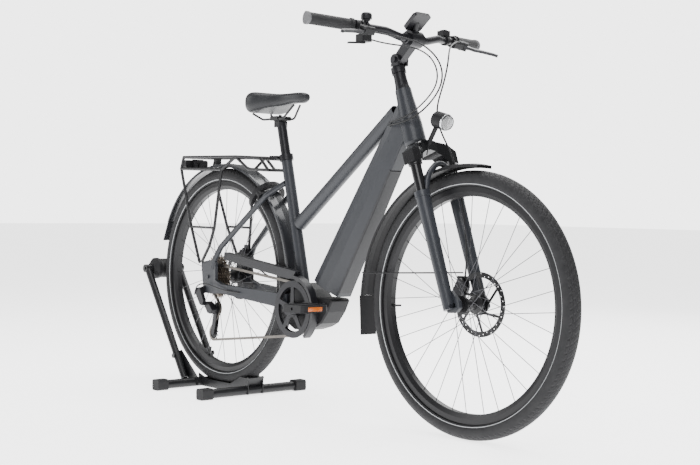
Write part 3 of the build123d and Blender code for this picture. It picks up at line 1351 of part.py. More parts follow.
def bell_spot():
    """Foot of the bell on the right side of the bar."""
    return bar_line(-1, 162.5)


def bell():
    """Bell dome above its bar clamp."""
    x, y, z = bell_spot()
    near = Vector(*bar_line(-1, 158))
    far = Vector(*bar_line(-1, 167))
    clamp = rod((near.X, near.Y, near.Z), (far.X, far.Y, far.Z), BAR_D + 7)
    clamp += rod((x, y, z + 10), (x, y, z + 22), 14)
    clamp -= rod(bar_line(-1, 140), bar_line(-1, 190), BAR_D + 2 * SEAT_GAP)
    dome = rod((x, y, z + 22.2), (x, y, z + 41), 31)
    dome = fillet(dome.faces().sort_by(Axis.Z)[-1].edges(), 9)
    return group(biggest(clamp), dome)


def bell_lever():
    """Small striker lever at the bell's foot."""
    x, y, z = bell_spot()
    low = z + 17.2
    ring = rod((x, y, low), (x, y, low + 4.4), 22) - rod((x, y, z + 10), (x, y, z + 25), 14 + 2 * RUNNING_GAP)
    arm = block(x - 30, x - 9, y - 4, y + 4, low, low + 4.4)
    return ring + (arm - rod((x, y, z + 10), (x, y, z + 25), 20))


LAMP_D = 47.0
LAMP_CABLE_D = 3.0


def headlamp():
    """Headlamp drum on its bracket from the crown."""
    drum = rod((996, 0, 864), (1040, 0, 852), LAMP_D)
    drum = fillet(drum.edges(), 5)
    lens = rod((1040.6, 0, 851.8), (1045, 0, 850.6), LAMP_D - 8)
    low = steer_point(44, 0, CROWN_TOP - 14)
    arm = rod(low, (1000, 0, 845), 13)
    arm -= rod((996, 0, 864), (1040, 0, 852), LAMP_D - 6)
    feed = [(1006, -9, 838), (990, -14, 812), (990, -20, 788), (987, -23, 764)]
    return group(drum + arm - crown_envelope(), lens, bent_tube(feed, LAMP_CABLE_D))


def crown_envelope():
    """Space of the crown's middle, kept clear by the lamp bracket."""
    base = HEAD_PLANE * (Pos(4, 0, CROWN_TOP - 20) * Cylinder(29.3, 44))
    slab = HEAD_PLANE * (Pos(18.2, 0, CROWN_TOP - 20) * Box(60, 70, 44))
    return base + slab


HOSE_D = 5.0


def steered_point(point):
    """Where a point of the straight-ahead steering stands at rest."""
    turn = math.radians(STEER_REST)
    origin = Vector(HEAD_X, 0, HEAD_Z)
    up = Vector(*STEER_UP)
    arm = Vector(*point) - origin
    along = up * up.dot(arm)
    spot = origin + along + (arm - along) * math.cos(turn) + up.cross(arm) * math.sin(turn)
    return (spot.X, spot.Y, spot.Z)


def master_end(side):
    """Inboard end of a brake master, where its hose leaves."""
    x, y, z = lever_pivot(side)
    return steered_point((x - 2, y - side * 47.6, z + 1))


def cable_loop():
    """Rear brake hose and shift cable from the right controls to the down tube's port."""
    x, y, z = shifter_spot()
    cable = [steered_point((x, y + 18.3, z)), (902, -100, 1068), (942, -58, 1066), (990, -32, 1047),
        (1023, -20, 1010)]
    cable += [(1034, -22, 953), (976, -31, 900), (917, -40, 866), (862, -42, 858.5), (839, -28, 858.5)]
    hose = [master_end(-1), (944, -112, 1086), (972, -62, 1080), (1008, -32, 1052), (1038, -14, 1010)]
    hose += [(1044, -15, 950), (985, -24, 889), (924, -40, 856), (862, -42.5, 850.5), (839, -28, 851.5)]
    return group(bent_tube(hose, HOSE_D), bent_tube(cable, HOSE_D - 0.5))


def front_hose():
    """Front brake hose from the left master down the inside of the fork's left leg."""
    hose = [master_end(1), (945, 110, 1082), (985, 62, 1062), (1012, 34, 1018), (1010, 18, 955),
        (984, 14, 895)]
    hose += [(988, 26, 835), (1022, 36, 780), (1048, 38, 722), (1066, 37, 655), (1080, 37, 590),
        (1090, 37, 525)]
    hose += [(1090, 39, 470), (1082, 41, 430)]
    return bent_tube(hose, HOSE_D)


def rear_cables():
    """Shift cable round to the derailleur and brake hose along the left chain stay."""
    cable = [(178, -74.5, 338), (120, -85, 339), (60, -93, 352), (0, -97, 362), (-42, -97, 350),
        (-56.5, -90, 318)]
    hose = [(330, 52, 368), (260, 60, 372), (190, 69, 376), (130, 76, 384), (92, 72, 402), (61.2, 58, 430.8)]
    return group(bent_tube(cable, HOSE_D - 0.5), bent_tube(hose, HOSE_D))


def build_front():
    write("fork_crown", steered(fork_crown()))
    write("fork_lowers", steered(fork_lowers()))
    write("caliper_front", steered(caliper_front()))
    write("mudguard_front", steered(mudguard_front()))
    write("stem", steered(stem()))
    write("handlebar", steered(handlebar()))
    write("grips", steered(grips()))
    write("brake_lever_right", steered(brake_lever(-1)))
    write("brake_lever_left", steered(brake_lever(1)))
    write("controls_right", steered(controls_right()))
    write("controls_left", steered(controls_left()))
    write("shift_lever", steered(shift_lever()))
    write("remote_button", steered(remote_button()))
    write("display", steered(display()))
    write("bell", steered(bell()))
    write("bell_lever", steered(bell_lever()))
    write("headlamp", steered(headlamp()))
    write("caliper_rear", caliper_rear())
    write("cable_loop", cable_loop())
    write("front_hose", front_hose())
    write("rear_cables", rear_cables())


# ---------------------------------------------------------------- display stand

def stand_base():
    """Two cross feet, the wheel channel between them and its end plates."""
    low = FOOT_D / 2 + 2
    feet = cross_rod(FRONT_FOOT_X, low, -FOOT_HALF, FOOT_HALF, FOOT_D)
    feet += cross_rod(REAR_FOOT_X, low, -FOOT_HALF, FOOT_HALF, FOOT_D)
    for x in (FRONT_FOOT_X, REAR_FOOT_X):
        feet -= cross_rod(x, low, -FOOT_HALF - 1, FOOT_HALF + 1, FOOT_D - 2 * TUBE_WALL)
    rail = block(REAR_FOOT_X, FRONT_FOOT_X, -31, 31, 4, 17)
    feet += rail
    for side in (-1, 1):
        wall = sorted((side * 28, side * 31))
        feet += side_plate([(-118, 4), (-118, 46), (-60, 30), (70, 30), (128, 58), (172, 58), (172, 4)],
            *wall)
        ear = sorted((side * (ARM_HALF - 16), side * (ARM_HALF - 13)))
        feet += side_plate([(-222, 108), (-196, 118), (-92, 34), (-92, 6), (-134, 6)], *ear)
    feet += block(-132, -100, -ARM_HALF + 13, ARM_HALF - 13, 6, 12)
    feet += side_plate([(120, 16), (150, 16), (176, 58), (169, 62)], -31, 31)
    feet -= cross_rod(*ARM_PIVOT, -100, 100, ARM_PIN_D + 2 * RUNNING_GAP)
    tyre_room = cross_rod(0, REAR_AXLE_Z, -27.5, 27.5, 2 * (TYRE_RADIUS + FREE_GAP))
    return feet - tyre_room


def stand_caps():
    """Flared rubber caps on the four ends of the feet."""
    caps = []
    for x in (FRONT_FOOT_X, REAR_FOOT_X):
        for side in (-1, 1):
            low, high = sorted((side * (FOOT_HALF - 34), side * (FOOT_HALF + 6)))
            cap = block(x - 20, x + 20, low, high, 0, 36)
            cap = fillet(cap.edges().filter_by(Axis.Y), 8)
            cap -= cross_rod(x, FOOT_D / 2 + 2, min(0, side * FOOT_HALF), max(0, side * FOOT_HALF),
                FOOT_D + 2 * SEAT_GAP)
            caps.append(cap)
    return caps


ARM_TOP = (ROLLER_X, ROLLER_Z)
ARM_PIVOT = (-200.0, 99.0)
ARM_PIN_D = 8.0


def stand_arms():
    """Two upright tubes joined at the foot, hinged on the base's ears."""
    parts = []
    low_x, low_z = -152.0, 26.0
    for side in (-1, 1):
        y = side * ARM_HALF
        parts.append(pipe((low_x, y, low_z), (ARM_TOP[0], y, ARM_TOP[1]), ARM_D, TUBE_WALL))
        parts.append(cross_rod(*ARM_TOP, y - 13, y + 13, 28))
        start, end = sorted((side * (ARM_HALF - 16.4), side * (ARM_HALF + 16)))
        parts.append(cross_rod(*ARM_PIVOT, start, end, ARM_PIN_D))
        end_a, end_b = sorted((side * (ARM_HALF + 12.4), side * (ARM_HALF + 18)))
        parts.append(cross_rod(*ARM_PIVOT, end_a, end_b, 17))
    roller_pin = cross_rod(*ARM_TOP, -ARM_HALF - 16, ARM_HALF + 16, 10)
    frame = parts[0].fuse(*parts[1:], roller_pin)
    return frame


def stand_roller():
    """Grooved roller that the tyre's back rests against."""
    half = ARM_HALF - 13.5
    profile = [(5 + RUNNING_GAP, -half), (22, -half), (ROLLER_R, -half + 14), (ROLLER_R, -26),
        (ROLLER_R - 3, -18)]
    profile += [(ROLLER_R - 3, 18), (ROLLER_R, 26), (ROLLER_R, half - 14), (22, half),
        (5 + RUNNING_GAP, half)]
    return Pos(ROLLER_X, 0, ROLLER_Z) * turned_ring(profile)


def build_stand():
    write("stand_base", group(stand_base(), *stand_caps()))
    write("stand_arms", stand_arms())
    write("stand_roller", stand_roller())


if __name__ == "__main__":
    os.makedirs("parts", exist_ok=True)
    build_frame()
    build_wheels()
    build_transmission()
    build_rear()
    build_seat()
    build_front()
    build_stand()
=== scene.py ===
import json
import math

import bmesh
import bpy
from mathutils import Matrix, Vector


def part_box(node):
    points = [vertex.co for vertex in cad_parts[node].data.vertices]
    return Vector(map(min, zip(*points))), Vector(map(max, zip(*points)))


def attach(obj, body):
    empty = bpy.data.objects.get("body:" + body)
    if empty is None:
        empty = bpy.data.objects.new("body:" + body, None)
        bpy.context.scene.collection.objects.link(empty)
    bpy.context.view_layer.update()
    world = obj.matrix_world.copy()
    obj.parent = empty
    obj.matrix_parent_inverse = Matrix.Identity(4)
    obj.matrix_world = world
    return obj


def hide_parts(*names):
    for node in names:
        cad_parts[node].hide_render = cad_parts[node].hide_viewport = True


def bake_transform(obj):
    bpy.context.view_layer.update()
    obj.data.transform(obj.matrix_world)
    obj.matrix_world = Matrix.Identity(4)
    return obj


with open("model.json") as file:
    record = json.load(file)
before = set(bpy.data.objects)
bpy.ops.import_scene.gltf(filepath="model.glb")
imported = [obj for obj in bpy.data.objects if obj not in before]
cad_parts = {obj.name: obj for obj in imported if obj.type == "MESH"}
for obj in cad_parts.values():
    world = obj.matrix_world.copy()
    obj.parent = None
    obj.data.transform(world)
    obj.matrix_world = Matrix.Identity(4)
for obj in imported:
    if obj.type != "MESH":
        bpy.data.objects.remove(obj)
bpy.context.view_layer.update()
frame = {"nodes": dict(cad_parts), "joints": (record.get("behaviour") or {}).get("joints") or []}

bl_info = {
    "name": "Bicycle on stand",
    "version": (1, 0, 0),
    "blender": (4, 5, 0),
    "location": "View3D > Sidebar > Bicycle",
    "description": "Dresses the step-through electric bicycle and its display stand",
    "category": "Object",
}

JOINTS = {joint["name"]: joint for joint in frame["joints"]}
REAR_HUB = Vector(JOINTS["rear_wheel_spin"]["pos_m"])
FRONT_HUB = Vector(JOINTS["front_wheel_spin"]["pos_m"])
FRONT_AXLE = Vector(JOINTS["front_wheel_spin"]["axis"])
MM = 0.001
REAR_AXLE_FROM_ORIGIN = 533.0        # millimetres from the row's origin back to the rear axle
MERGE_DISTANCE = 0.00002
TREAD_STARTS = 0.3475                # radii on the tyre, in metres
WALL_RIBS = (0.330, 0.3455)
FOOT_CAP_REACH = 0.1655              # where the rubber caps of the stand's feet begin, along Y
GRIP_COLLAR_REACH = 0.3305           # where the pale end collars of the grips begin, along Y


# ---------------------------------------------------------------- settings

class BicycleSizes(bpy.types.PropertyGroup):
    tyre_radius: bpy.props.FloatProperty(
        name="Tyre radius", description="Outer radius of both tyres", default=0.3608,
        unit="LENGTH")
    tyre_width: bpy.props.FloatProperty(
        name="Tyre width", description="Width of the inflated tyre", default=0.0506, unit="LENGTH")
    stripe_radius: bpy.props.FloatProperty(
        name="Stripe radius", description="Radius of the reflecting ring on the tyre wall",
        default=0.3235, unit="LENGTH")
    hose_width: bpy.props.FloatProperty(
        name="Hose width", description="Diameter of the brake hoses", default=0.005, unit="LENGTH")


class BicycleColours(bpy.types.PropertyGroup):
    frame_paint: bpy.props.FloatVectorProperty(
        name="Frame paint", description="Anthracite paint of frame and fork", default=(0.0150, 0.0165,
            0.0205),
        subtype="COLOR", size=3, min=0, max=1)
    cover_paint: bpy.props.FloatVectorProperty(
        name="Battery cover", description="Paint of the battery's cover", default=(0.0190, 0.0195, 0.0215),
        subtype="COLOR", size=3, min=0, max=1)
    guard_gloss: bpy.props.FloatVectorProperty(
        name="Mudguard", description="Glossy graphite of the rear mudguard", default=(0.0200, 0.0210,
            0.0240),
        subtype="COLOR", size=3, min=0, max=1)
    saddle_cover: bpy.props.FloatVectorProperty(
        name="Saddle cover", description="Colour of the saddle's skin", default=(0.0080, 0.0085, 0.0100),
        subtype="COLOR", size=3, min=0, max=1)
    reflector: bpy.props.FloatVectorProperty(
        name="Pedal reflector", description="Colour of the pedal reflectors", default=(0.50, 0.11, 0.01),
        subtype="COLOR", size=3, min=0, max=1)


def sizes():
    return bpy.context.scene.bicycle_sizes


def colours():
    return bpy.context.scene.bicycle_colours


# ---------------------------------------------------------------- finishes

def new_finish(name):
    """Empty node material with its shader and output."""
    material = bpy.data.materials.new(name)
    material.use_nodes = True
    nodes = material.node_tree.nodes
    nodes.clear()
    output = nodes.new("ShaderNodeOutputMaterial")
    shader = nodes.new("ShaderNodeBsdfPrincipled")
    material.node_tree.links.new(shader.outputs["BSDF"], output.inputs["Surface"])
    return material, shader


def object_space(material, scale=(1, 1, 1), location=(0, 0, 0), rotation=(0, 0, 0)):
    """Object coordinates through a Mapping node."""
    nodes = material.node_tree.nodes
    links = material.node_tree.links
    space = nodes.new("ShaderNodeTexCoord")
    mapping = nodes.new("ShaderNodeMapping")
    mapping.inputs["Scale"].default_value = scale
    mapping.inputs["Location"].default_value = location
    mapping.inputs["Rotation"].default_value = rotation
    links.new(space.outputs["Object"], mapping.inputs["Vector"])
    return mapping.outputs["Vector"]


def noise(material, vector, scale, detail=4.0, roughness=0.6):
    node = material.node_tree.nodes.new("ShaderNodeTexNoise")
    node.inputs["Scale"].default_value = scale
    node.inputs["Detail"].default_value = detail
    node.inputs["Roughness"].default_value = roughness
    material.node_tree.links.new(vector, node.inputs["Vector"])
    return node.outputs["Fac"]


def ramp(material, value, stops):
    """Colour ramp from (position, colour) stops."""
    node = material.node_tree.nodes.new("ShaderNodeValToRGB")
    elements = node.color_ramp.elements
    while len(elements) < len(stops):
        elements.new(0.5)
    for element, (position, colour) in zip(elements, stops):
        element.position = position
        element.color = (*colour, 1.0)
    material.node_tree.links.new(value, node.inputs["Fac"])
    return node.outputs["Color"]


def spread(material, value, low, high):
    """A 0 to 1 value spread over another range."""
    node = material.node_tree.nodes.new("ShaderNodeMapRange")
    node.inputs["To Min"].default_value = low
    node.inputs["To Max"].default_value = high
    material.node_tree.links.new(value, node.inputs["Value"])
    return node.outputs["Result"]


def math_node(material, operation, *values):
    """Math node on sockets or plain numbers."""
    node = material.node_tree.nodes.new("ShaderNodeMath")
    node.operation = operation
    for socket, value in zip(node.inputs, values):
        if isinstance(value, (int, float)):
            socket.default_value = value
        else:
            material.node_tree.links.new(value, socket)
    return node.outputs["Value"]


def mix_colour(material, share, first, second):
    """Mix of two colours or sockets."""
    node = material.node_tree.nodes.new("ShaderNodeMix")
    node.data_type = "RGBA"
    links = material.node_tree.links
    links.new(share, node.inputs["Factor"])
    for socket, value in ((node.inputs[6], first), (node.inputs[7], second)):
        if isinstance(value, (tuple, list)):
            socket.default_value = (*value[:3], 1.0)
        else:
            links.new(value, socket)
    return node.outputs[2]


def bump(material, shader, height, strength, distance):
    node = material.node_tree.nodes.new("ShaderNodeBump")
    node.inputs["Strength"].default_value = strength
    node.inputs["Distance"].default_value = distance
    material.node_tree.links.new(height, node.inputs["Height"])
    material.node_tree.links.new(node.outputs["Normal"], shader.inputs["Normal"])


def shade(colour, factor):
    return tuple(min(1.0, channel * factor) for channel in colour[:3])


def surface(name, colour, metallic=0.0, roughness=(0.35, 0.5), grain=900.0, relief=0.1,
            vary=0.12, coat=0.0, gloss=0.3):
    """Moulded or painted surface: slow colour drift, fine grain and uneven roughness."""
    material, shader = new_finish(name)
    vector = object_space(material)
    slow = noise(material, vector, 9.0, 3.0)
    fine = noise(material, vector, grain, 3.0, 0.7)
    links = material.node_tree.links
    stops = ((0.3, shade(colour, 1.0 - vary)), (0.7, shade(colour, 1.0 + vary)))
    links.new(ramp(material, slow, stops), shader.inputs["Base Color"])
    uneven = math_node(material, "ADD", math_node(material, "MULTIPLY", slow, 0.6),
        math_node(material, "MULTIPLY", fine, 0.4))
    links.new(spread(material, uneven, *roughness), shader.inputs["Roughness"])
    shader.inputs["Metallic"].default_value = metallic
    shader.inputs["Specular IOR Level"].default_value = gloss
    shader.inputs["Coat Weight"].default_value = coat
    shader.inputs["Coat Roughness"].default_value = 0.12
    bump(material, shader, fine, relief, 0.0004)
    return material


def brushed(name, colour, roughness=(0.22, 0.4), stretch=(1, 30, 30), vary=0.18):
    """Bare metal with fine drawn lines."""
    material, shader = new_finish(name)
    lines = noise(material, object_space(material, scale=stretch), 40.0, 5.0, 0.65)
    stain = noise(material, object_space(material), 22.0, 4.0)
    links = material.node_tree.links
    links.new(ramp(material, stain, ((0.25, shade(colour, 1 - vary)),
        (0.75, shade(colour, 1 + vary)))), shader.inputs["Base Color"])
    links.new(spread(material, lines, *roughness), shader.inputs["Roughness"])
    shader.inputs["Metallic"].default_value = 1.0
    bump(material, shader, lines, 0.12, 0.0003)
    return material


def hub_space(material, hub, axle=Vector((0, 1, 0))):
    """Radius from a wheel's axle, place along the axle and turn, for rings and tread."""
    turn = Vector((0, 1, 0)).rotation_difference(axle).inverted().to_matrix()
    place = -(turn @ hub)
    angles = turn.to_euler()
    vector = object_space(material, location=place, rotation=angles)
    split = material.node_tree.nodes.new("ShaderNodeSeparateXYZ")
    material.node_tree.links.new(vector, split.inputs["Vector"])
    x, y, z = split.outputs
    ahead = math_node(material, "MULTIPLY", x, x)
    above = math_node(material, "MULTIPLY", z, z)
    radius = math_node(material, "SQRT", math_node(material, "ADD", ahead, above))
    angle = math_node(material, "ARCTAN2", z, x)
    return vector, radius, y, angle


def between(material, value, low, high, edge=0.0004):
    """1 where a value lies between two numbers, with soft edges."""
    up = math_node(material, "DIVIDE", math_node(material, "SUBTRACT", value, low), edge)
    down = math_node(material, "DIVIDE", math_node(material, "SUBTRACT", high, value), edge)
    both = math_node(material, "MINIMUM", up, down)
    return math_node(material, "MAXIMUM", math_node(material, "MINIMUM", both, 1.0), 0.0)


def flat_topped(material, wave, steepness, lift):
    """A wave made steeper and raised, with its crests cut off at 1."""
    steep = math_node(material, "MULTIPLY", wave, steepness)
    return math_node(material, "MINIMUM", math_node(material, "ADD", steep, lift), 1.0)


def tyre_finish(name, hub, axle):
    """Black rubber with block tread, moulded wall ribs and a thin reflecting ring."""
    material, shader = new_finish(name)
    vector, radius, across, angle = hub_space(material, hub, axle)
    links = material.node_tree.links
    grime = noise(material, vector, 60.0, 5.0)
    base = ramp(material, grime, ((0.3, (0.007, 0.007, 0.008)), (0.7, (0.013, 0.013, 0.014))))
    ring = between(material, radius, sizes().stripe_radius - 0.0010, sizes().stripe_radius + 0.0010)
    links.new(mix_colour(material, ring, base, (0.36, 0.37, 0.38)), shader.inputs["Base Color"])
    shader.inputs["Specular IOR Level"].default_value = 0.25
    links.new(spread(material, ring, 0.62, 0.35), shader.inputs["Roughness"])
    crown = between(material, radius, TREAD_STARTS, 0.4, 0.002)
    side = math_node(material, "ABSOLUTE", across)
    round_turn = math_node(material, "MULTIPLY", angle, 118.0)
    slant = math_node(material, "ADD", round_turn, math_node(material, "MULTIPLY", side, 330.0))
    blocks = flat_topped(material, math_node(material, "SINE", slant), 2.2, 1.3)
    rows = math_node(material, "COSINE", math_node(material, "MULTIPLY", side, 950.0))
    grooves = flat_topped(material, rows, 2.0, 1.5)
    both = math_node(material, "MULTIPLY", blocks, grooves)
    tread = math_node(material, "MULTIPLY", both, crown)
    ribs = math_node(material, "SINE", math_node(material, "MULTIPLY", radius, 2400.0))
    wall = math_node(material, "MULTIPLY", ribs, between(material, radius, *WALL_RIBS, 0.001))
    height = math_node(material, "ADD", tread, math_node(material, "MULTIPLY", wall, 0.12))
    bump(material, shader, height, 0.8, 0.0012)
    return material


def foot_finish(name):
    """Black tube lacquer with rubber at the ends of the feet."""
    material, shader = new_finish(name)
    vector = object_space(material)
    split = material.node_tree.nodes.new("ShaderNodeSeparateXYZ")
    material.node_tree.links.new(vector, split.inputs["Vector"])
    reach = math_node(material, "ABSOLUTE", split.outputs["Y"])
    end = between(material, reach, FOOT_CAP_REACH, 0.4, 0.0004)
    fine = noise(material, vector, 700.0, 3.0)
    links = material.node_tree.links
    lacquer = ramp(material, noise(material, vector, 14.0),
        ((0.3, (0.007, 0.007, 0.008)), (0.7, (0.011, 0.011, 0.012))))
    links.new(mix_colour(material, end, lacquer, (0.014, 0.014, 0.015)), shader.inputs["Base Color"])
    shader.inputs["Specular IOR Level"].default_value = 0.25
    links.new(spread(material, end, 0.32, 0.7), shader.inputs["Roughness"])
    bump(material, shader, fine, 0.15, 0.0004)
    return material


def leather_finish(name, colour):
    """Saddle skin: small pebbles, soft sheen and a slow drift in tone."""
    material, shader = new_finish(name)
    vector = object_space(material)
    cells = material.node_tree.nodes.new("ShaderNodeTexVoronoi")
    cells.feature = "DISTANCE_TO_EDGE"
    cells.inputs["Scale"].default_value = 620.0
    links = material.node_tree.links
    links.new(vector, cells.inputs["Vector"])
    slow = noise(material, vector, 14.0, 3.0)
    links.new(ramp(material, slow, ((0.3, shade(colour, 0.8)), (0.7, shade(colour, 1.35)))),
        shader.inputs["Base Color"])
    links.new(spread(material, slow, 0.34, 0.5), shader.inputs["Roughness"])
    pebble = math_node(material, "MINIMUM", math_node(material, "MULTIPLY", cells.outputs["Distance"],
        6.0), 1.0)
    bump(material, shader, pebble, 0.25, 0.0003)
    shader.inputs["Specular IOR Level"].default_value = 0.3
    return material


def lens_finish(name, colour, transmission=0.85, scale=260.0):
    """Clear or coloured lens with moulded prisms."""
    material, shader = new_finish(name)
    cells = material.node_tree.nodes.new("ShaderNodeTexVoronoi")
    cells.inputs["Scale"].default_value = scale
    links = material.node_tree.links
    links.new(object_space(material), cells.inputs["Vector"])
    links.new(ramp(material, cells.outputs["Distance"],
        ((0.0, shade(colour, 1.1)), (0.8, shade(colour, 0.8)))), shader.inputs["Base Color"])
    shader.inputs["Roughness"].default_value = 0.08
    shader.inputs["Transmission Weight"].default_value = transmission
    shader.inputs["Coat Weight"].default_value = 0.6
    bump(material, shader, cells.outputs["Distance"], 0.35, 0.0008)
    return material


def grip_finish(name):
    """Soft rubber with fine crossing ribs."""
    material, shader = new_finish(name)
    vector = object_space(material)
    split = material.node_tree.nodes.new("ShaderNodeSeparateXYZ")
    links = material.node_tree.links
    links.new(vector, split.inputs["Vector"])
    along = math_node(material, "SINE", math_node(material, "MULTIPLY", split.outputs["Y"], 2600.0))
    rise = math_node(material, "SINE", math_node(material, "MULTIPLY", split.outputs["Z"], 2600.0))
    height = math_node(material, "MULTIPLY", along, rise)
    slow = noise(material, vector, 30.0)
    rubber = ramp(material, slow, ((0.3, (0.008, 0.008, 0.009)), (0.7, (0.014, 0.014, 0.015))))
    collar = between(material, math_node(material, "ABSOLUTE", split.outputs["Y"]), GRIP_COLLAR_REACH,
        0.4, 0.0004)
    links.new(mix_colour(material, collar, rubber, (0.10, 0.10, 0.105)), shader.inputs["Base Color"])
    links.new(spread(material, slow, 0.5, 0.7), shader.inputs["Roughness"])
    shader.inputs["Specular IOR Level"].default_value = 0.25
    bump(material, shader, height, 0.4, 0.0005)
    return material


FINISHES = {}


def make_finishes():
    paint = colours()
    dark = (0.0075, 0.0075, 0.0085)
    FINISHES["frame"] = surface("frame_paint", paint.frame_paint, 0.1, (0.36, 0.48), 1400, 0.05, 0.10,
        0.06, 0.35)
    FINISHES["cover"] = surface("cover_paint", paint.cover_paint, 0.05, (0.42, 0.55), 1200, 0.08,
        0.10, 0.0, 0.3)
    FINISHES["plastic"] = surface("black_plastic", dark, 0.0, (0.42, 0.6), 800, 0.2, 0.12, 0.0, 0.2)
    FINISHES["satin_plastic"] = surface("satin_plastic", (0.009, 0.009, 0.011), 0.0, (0.28, 0.42), 900, 0.1)
    FINISHES["guard"] = surface("guard_gloss", paint.guard_gloss, 0.2, (0.2, 0.3), 1200, 0.03, 0.08,
        0.4, 0.35)
    FINISHES["rim"] = surface("rim_black", dark, 0.2, (0.3, 0.42), 900, 0.06, 0.12, 0.0, 0.3)
    FINISHES["lacquer"] = surface("black_lacquer", dark, 0.1, (0.28, 0.42), 900, 0.08, 0.12, 0.05, 0.3)
    FINISHES["alloy"] = surface("black_alloy", (0.011, 0.011, 0.013), 0.4, (0.27, 0.4), 900, 0.06)
    FINISHES["fork"] = surface("fork_paint", shade(paint.frame_paint, 1.1), 0.15, (0.32, 0.44), 1400,
        0.05, 0.10, 0.1, 0.35)
    FINISHES["crown"] = surface("crown_black", dark, 0.4, (0.16, 0.28), 1000, 0.04, 0.1, 0.2, 0.4)
    FINISHES["spoke"] = brushed("spoke_steel", (0.06, 0.06, 0.065), (0.25, 0.38), (6, 6, 6))
    FINISHES["chain"] = brushed("chain_steel", (0.12, 0.11, 0.10), (0.28, 0.48), (8, 8, 8), 0.3)
    FINISHES["cassette"] = brushed("cassette_steel", (0.26, 0.23, 0.20), (0.25, 0.45), (8, 30, 8), 0.25)
    FINISHES["rubber"] = surface("soft_rubber", (0.009, 0.009, 0.010), 0.0, (0.5, 0.68), 700, 0.15,
        0.12, 0.0, 0.2)
    FINISHES["grip"] = grip_finish("grip_rubber")
    FINISHES["stand"] = foot_finish("stand_lacquer")
    FINISHES["hose"] = surface("hose_rubber", dark, 0.0, (0.3, 0.42), 900, 0.06, 0.12, 0.0, 0.25)
    FINISHES["bright"] = brushed("bright_steel", (0.66, 0.67, 0.69), (0.12, 0.25), (20, 20, 20))
    FINISHES["saddle"] = leather_finish("saddle_skin", paint.saddle_cover)
    FINISHES["lens"] = lens_finish("lamp_lens", (0.9, 0.92, 0.94))
    FINISHES["red_lens"] = lens_finish("rear_lens", (0.55, 0.01, 0.01), 0.35)
    FINISHES["reflector"] = lens_finish("pedal_reflector", paint.reflector, 0.15, 500.0)
    FINISHES["screen"] = surface("screen_glass", (0.004, 0.005, 0.006), 0.0, (0.04, 0.08), 300, 0.01,
        0.05, 0.5, 0.5)


NODE_FINISH = {
    "frame": "head_tube seat_tube top_tube down_tube rear_triangle_right rear_triangle_left",
    "cover": "battery",
    "fork": "fork_lowers",
    "crown": "fork_crown",
    "plastic": "motor_unit ring_lock ring_lock_lever controls_right controls_left shift_lever remote_button"
               " tail_light pedal_right pedal_left jockey_upper jockey_lower headlamp mudguard_front",
    "satin_plastic": "chain_guard display",
    "guard": "mudguard_rear",
    "rim": "rim_front rim_rear",
    "lacquer": "rack stand_arms hub_front hub_rear saddle_rails",
    "alloy": "stem handlebar crankset chainring derailleur caliper_front caliper_rear seat_post seat_clamp"
             " seat_lever brake_lever_right brake_lever_left bell bell_lever",
    "spoke": "spokes_front spokes_rear",
    "chain": "chain",
    "cassette": "cassette",
    "rubber": "stand_roller tyre_front tyre_rear",
    "grip": "grips",
    "saddle": "saddle",
    "hose": "cable_loop front_hose rear_cables",
    "stand": "stand_base",
}


def dress_nodes():
    """Gives each carried-over CAD piece its finish."""
    for finish, names in NODE_FINISH.items():
        for name in names.split():
            node = frame["nodes"][name]
            if not node.material_slots:
                node.data.materials.append(FINISHES[finish])
            for slot in node.material_slots:
                slot.material = FINISHES[finish]


def place(mesh_data, name, finish, body, slot, replaced=()):
    """Adds a finished mesh as a piece that rides on a body."""
    piece = bpy.data.objects.new(name, mesh_data)
    bpy.context.scene.collection.objects.link(piece)
    if isinstance(finish, str):
        finish = FINISHES[finish]
    piece.data.materials.append(finish)
    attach(piece, body)
    if replaced:
        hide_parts(*replaced)
    return piece


def to_mesh(form, name, smooth=35.0):
    """Turns a bmesh into clean mesh data, smooth below an angle."""
    bmesh.ops.remove_doubles(form, verts=form.verts, dist=MERGE_DISTANCE)
    bmesh.ops.recalc_face_normals(form, faces=form.faces)
    data = bpy.data.meshes.new(name)
    form.to_mesh(data)
    form.free()
    for polygon in data.polygons:
        polygon.use_smooth = True
    data.set_sharp_from_angle(angle=math.radians(smooth))
    return data


def wheel_matrix(hub, axle):
    """Places a shape made round the Y axis on a wheel's axle."""
    turn = Vector((0, 1, 0)).rotation_difference(axle).to_matrix().to_4x4()
    return Matrix.Translation(hub) @ turn


def spin_profile(points, steps):
    """Spins a closed line of (radius, along) points once round the Y axis."""
    form = bmesh.new()
    verts = [form.verts.new((radius, along, 0)) for radius, along in points]
    edges = [form.edges.new(pair) for pair in zip(verts, verts[1:] + verts[:1])]
    bmesh.ops.spin(form, geom=verts + edges, cent=(0, 0, 0), axis=(0, 1, 0), angle=math.tau,
                   steps=steps, use_merge=True)
    return form


# ---------------------------------------------------------------- pieces

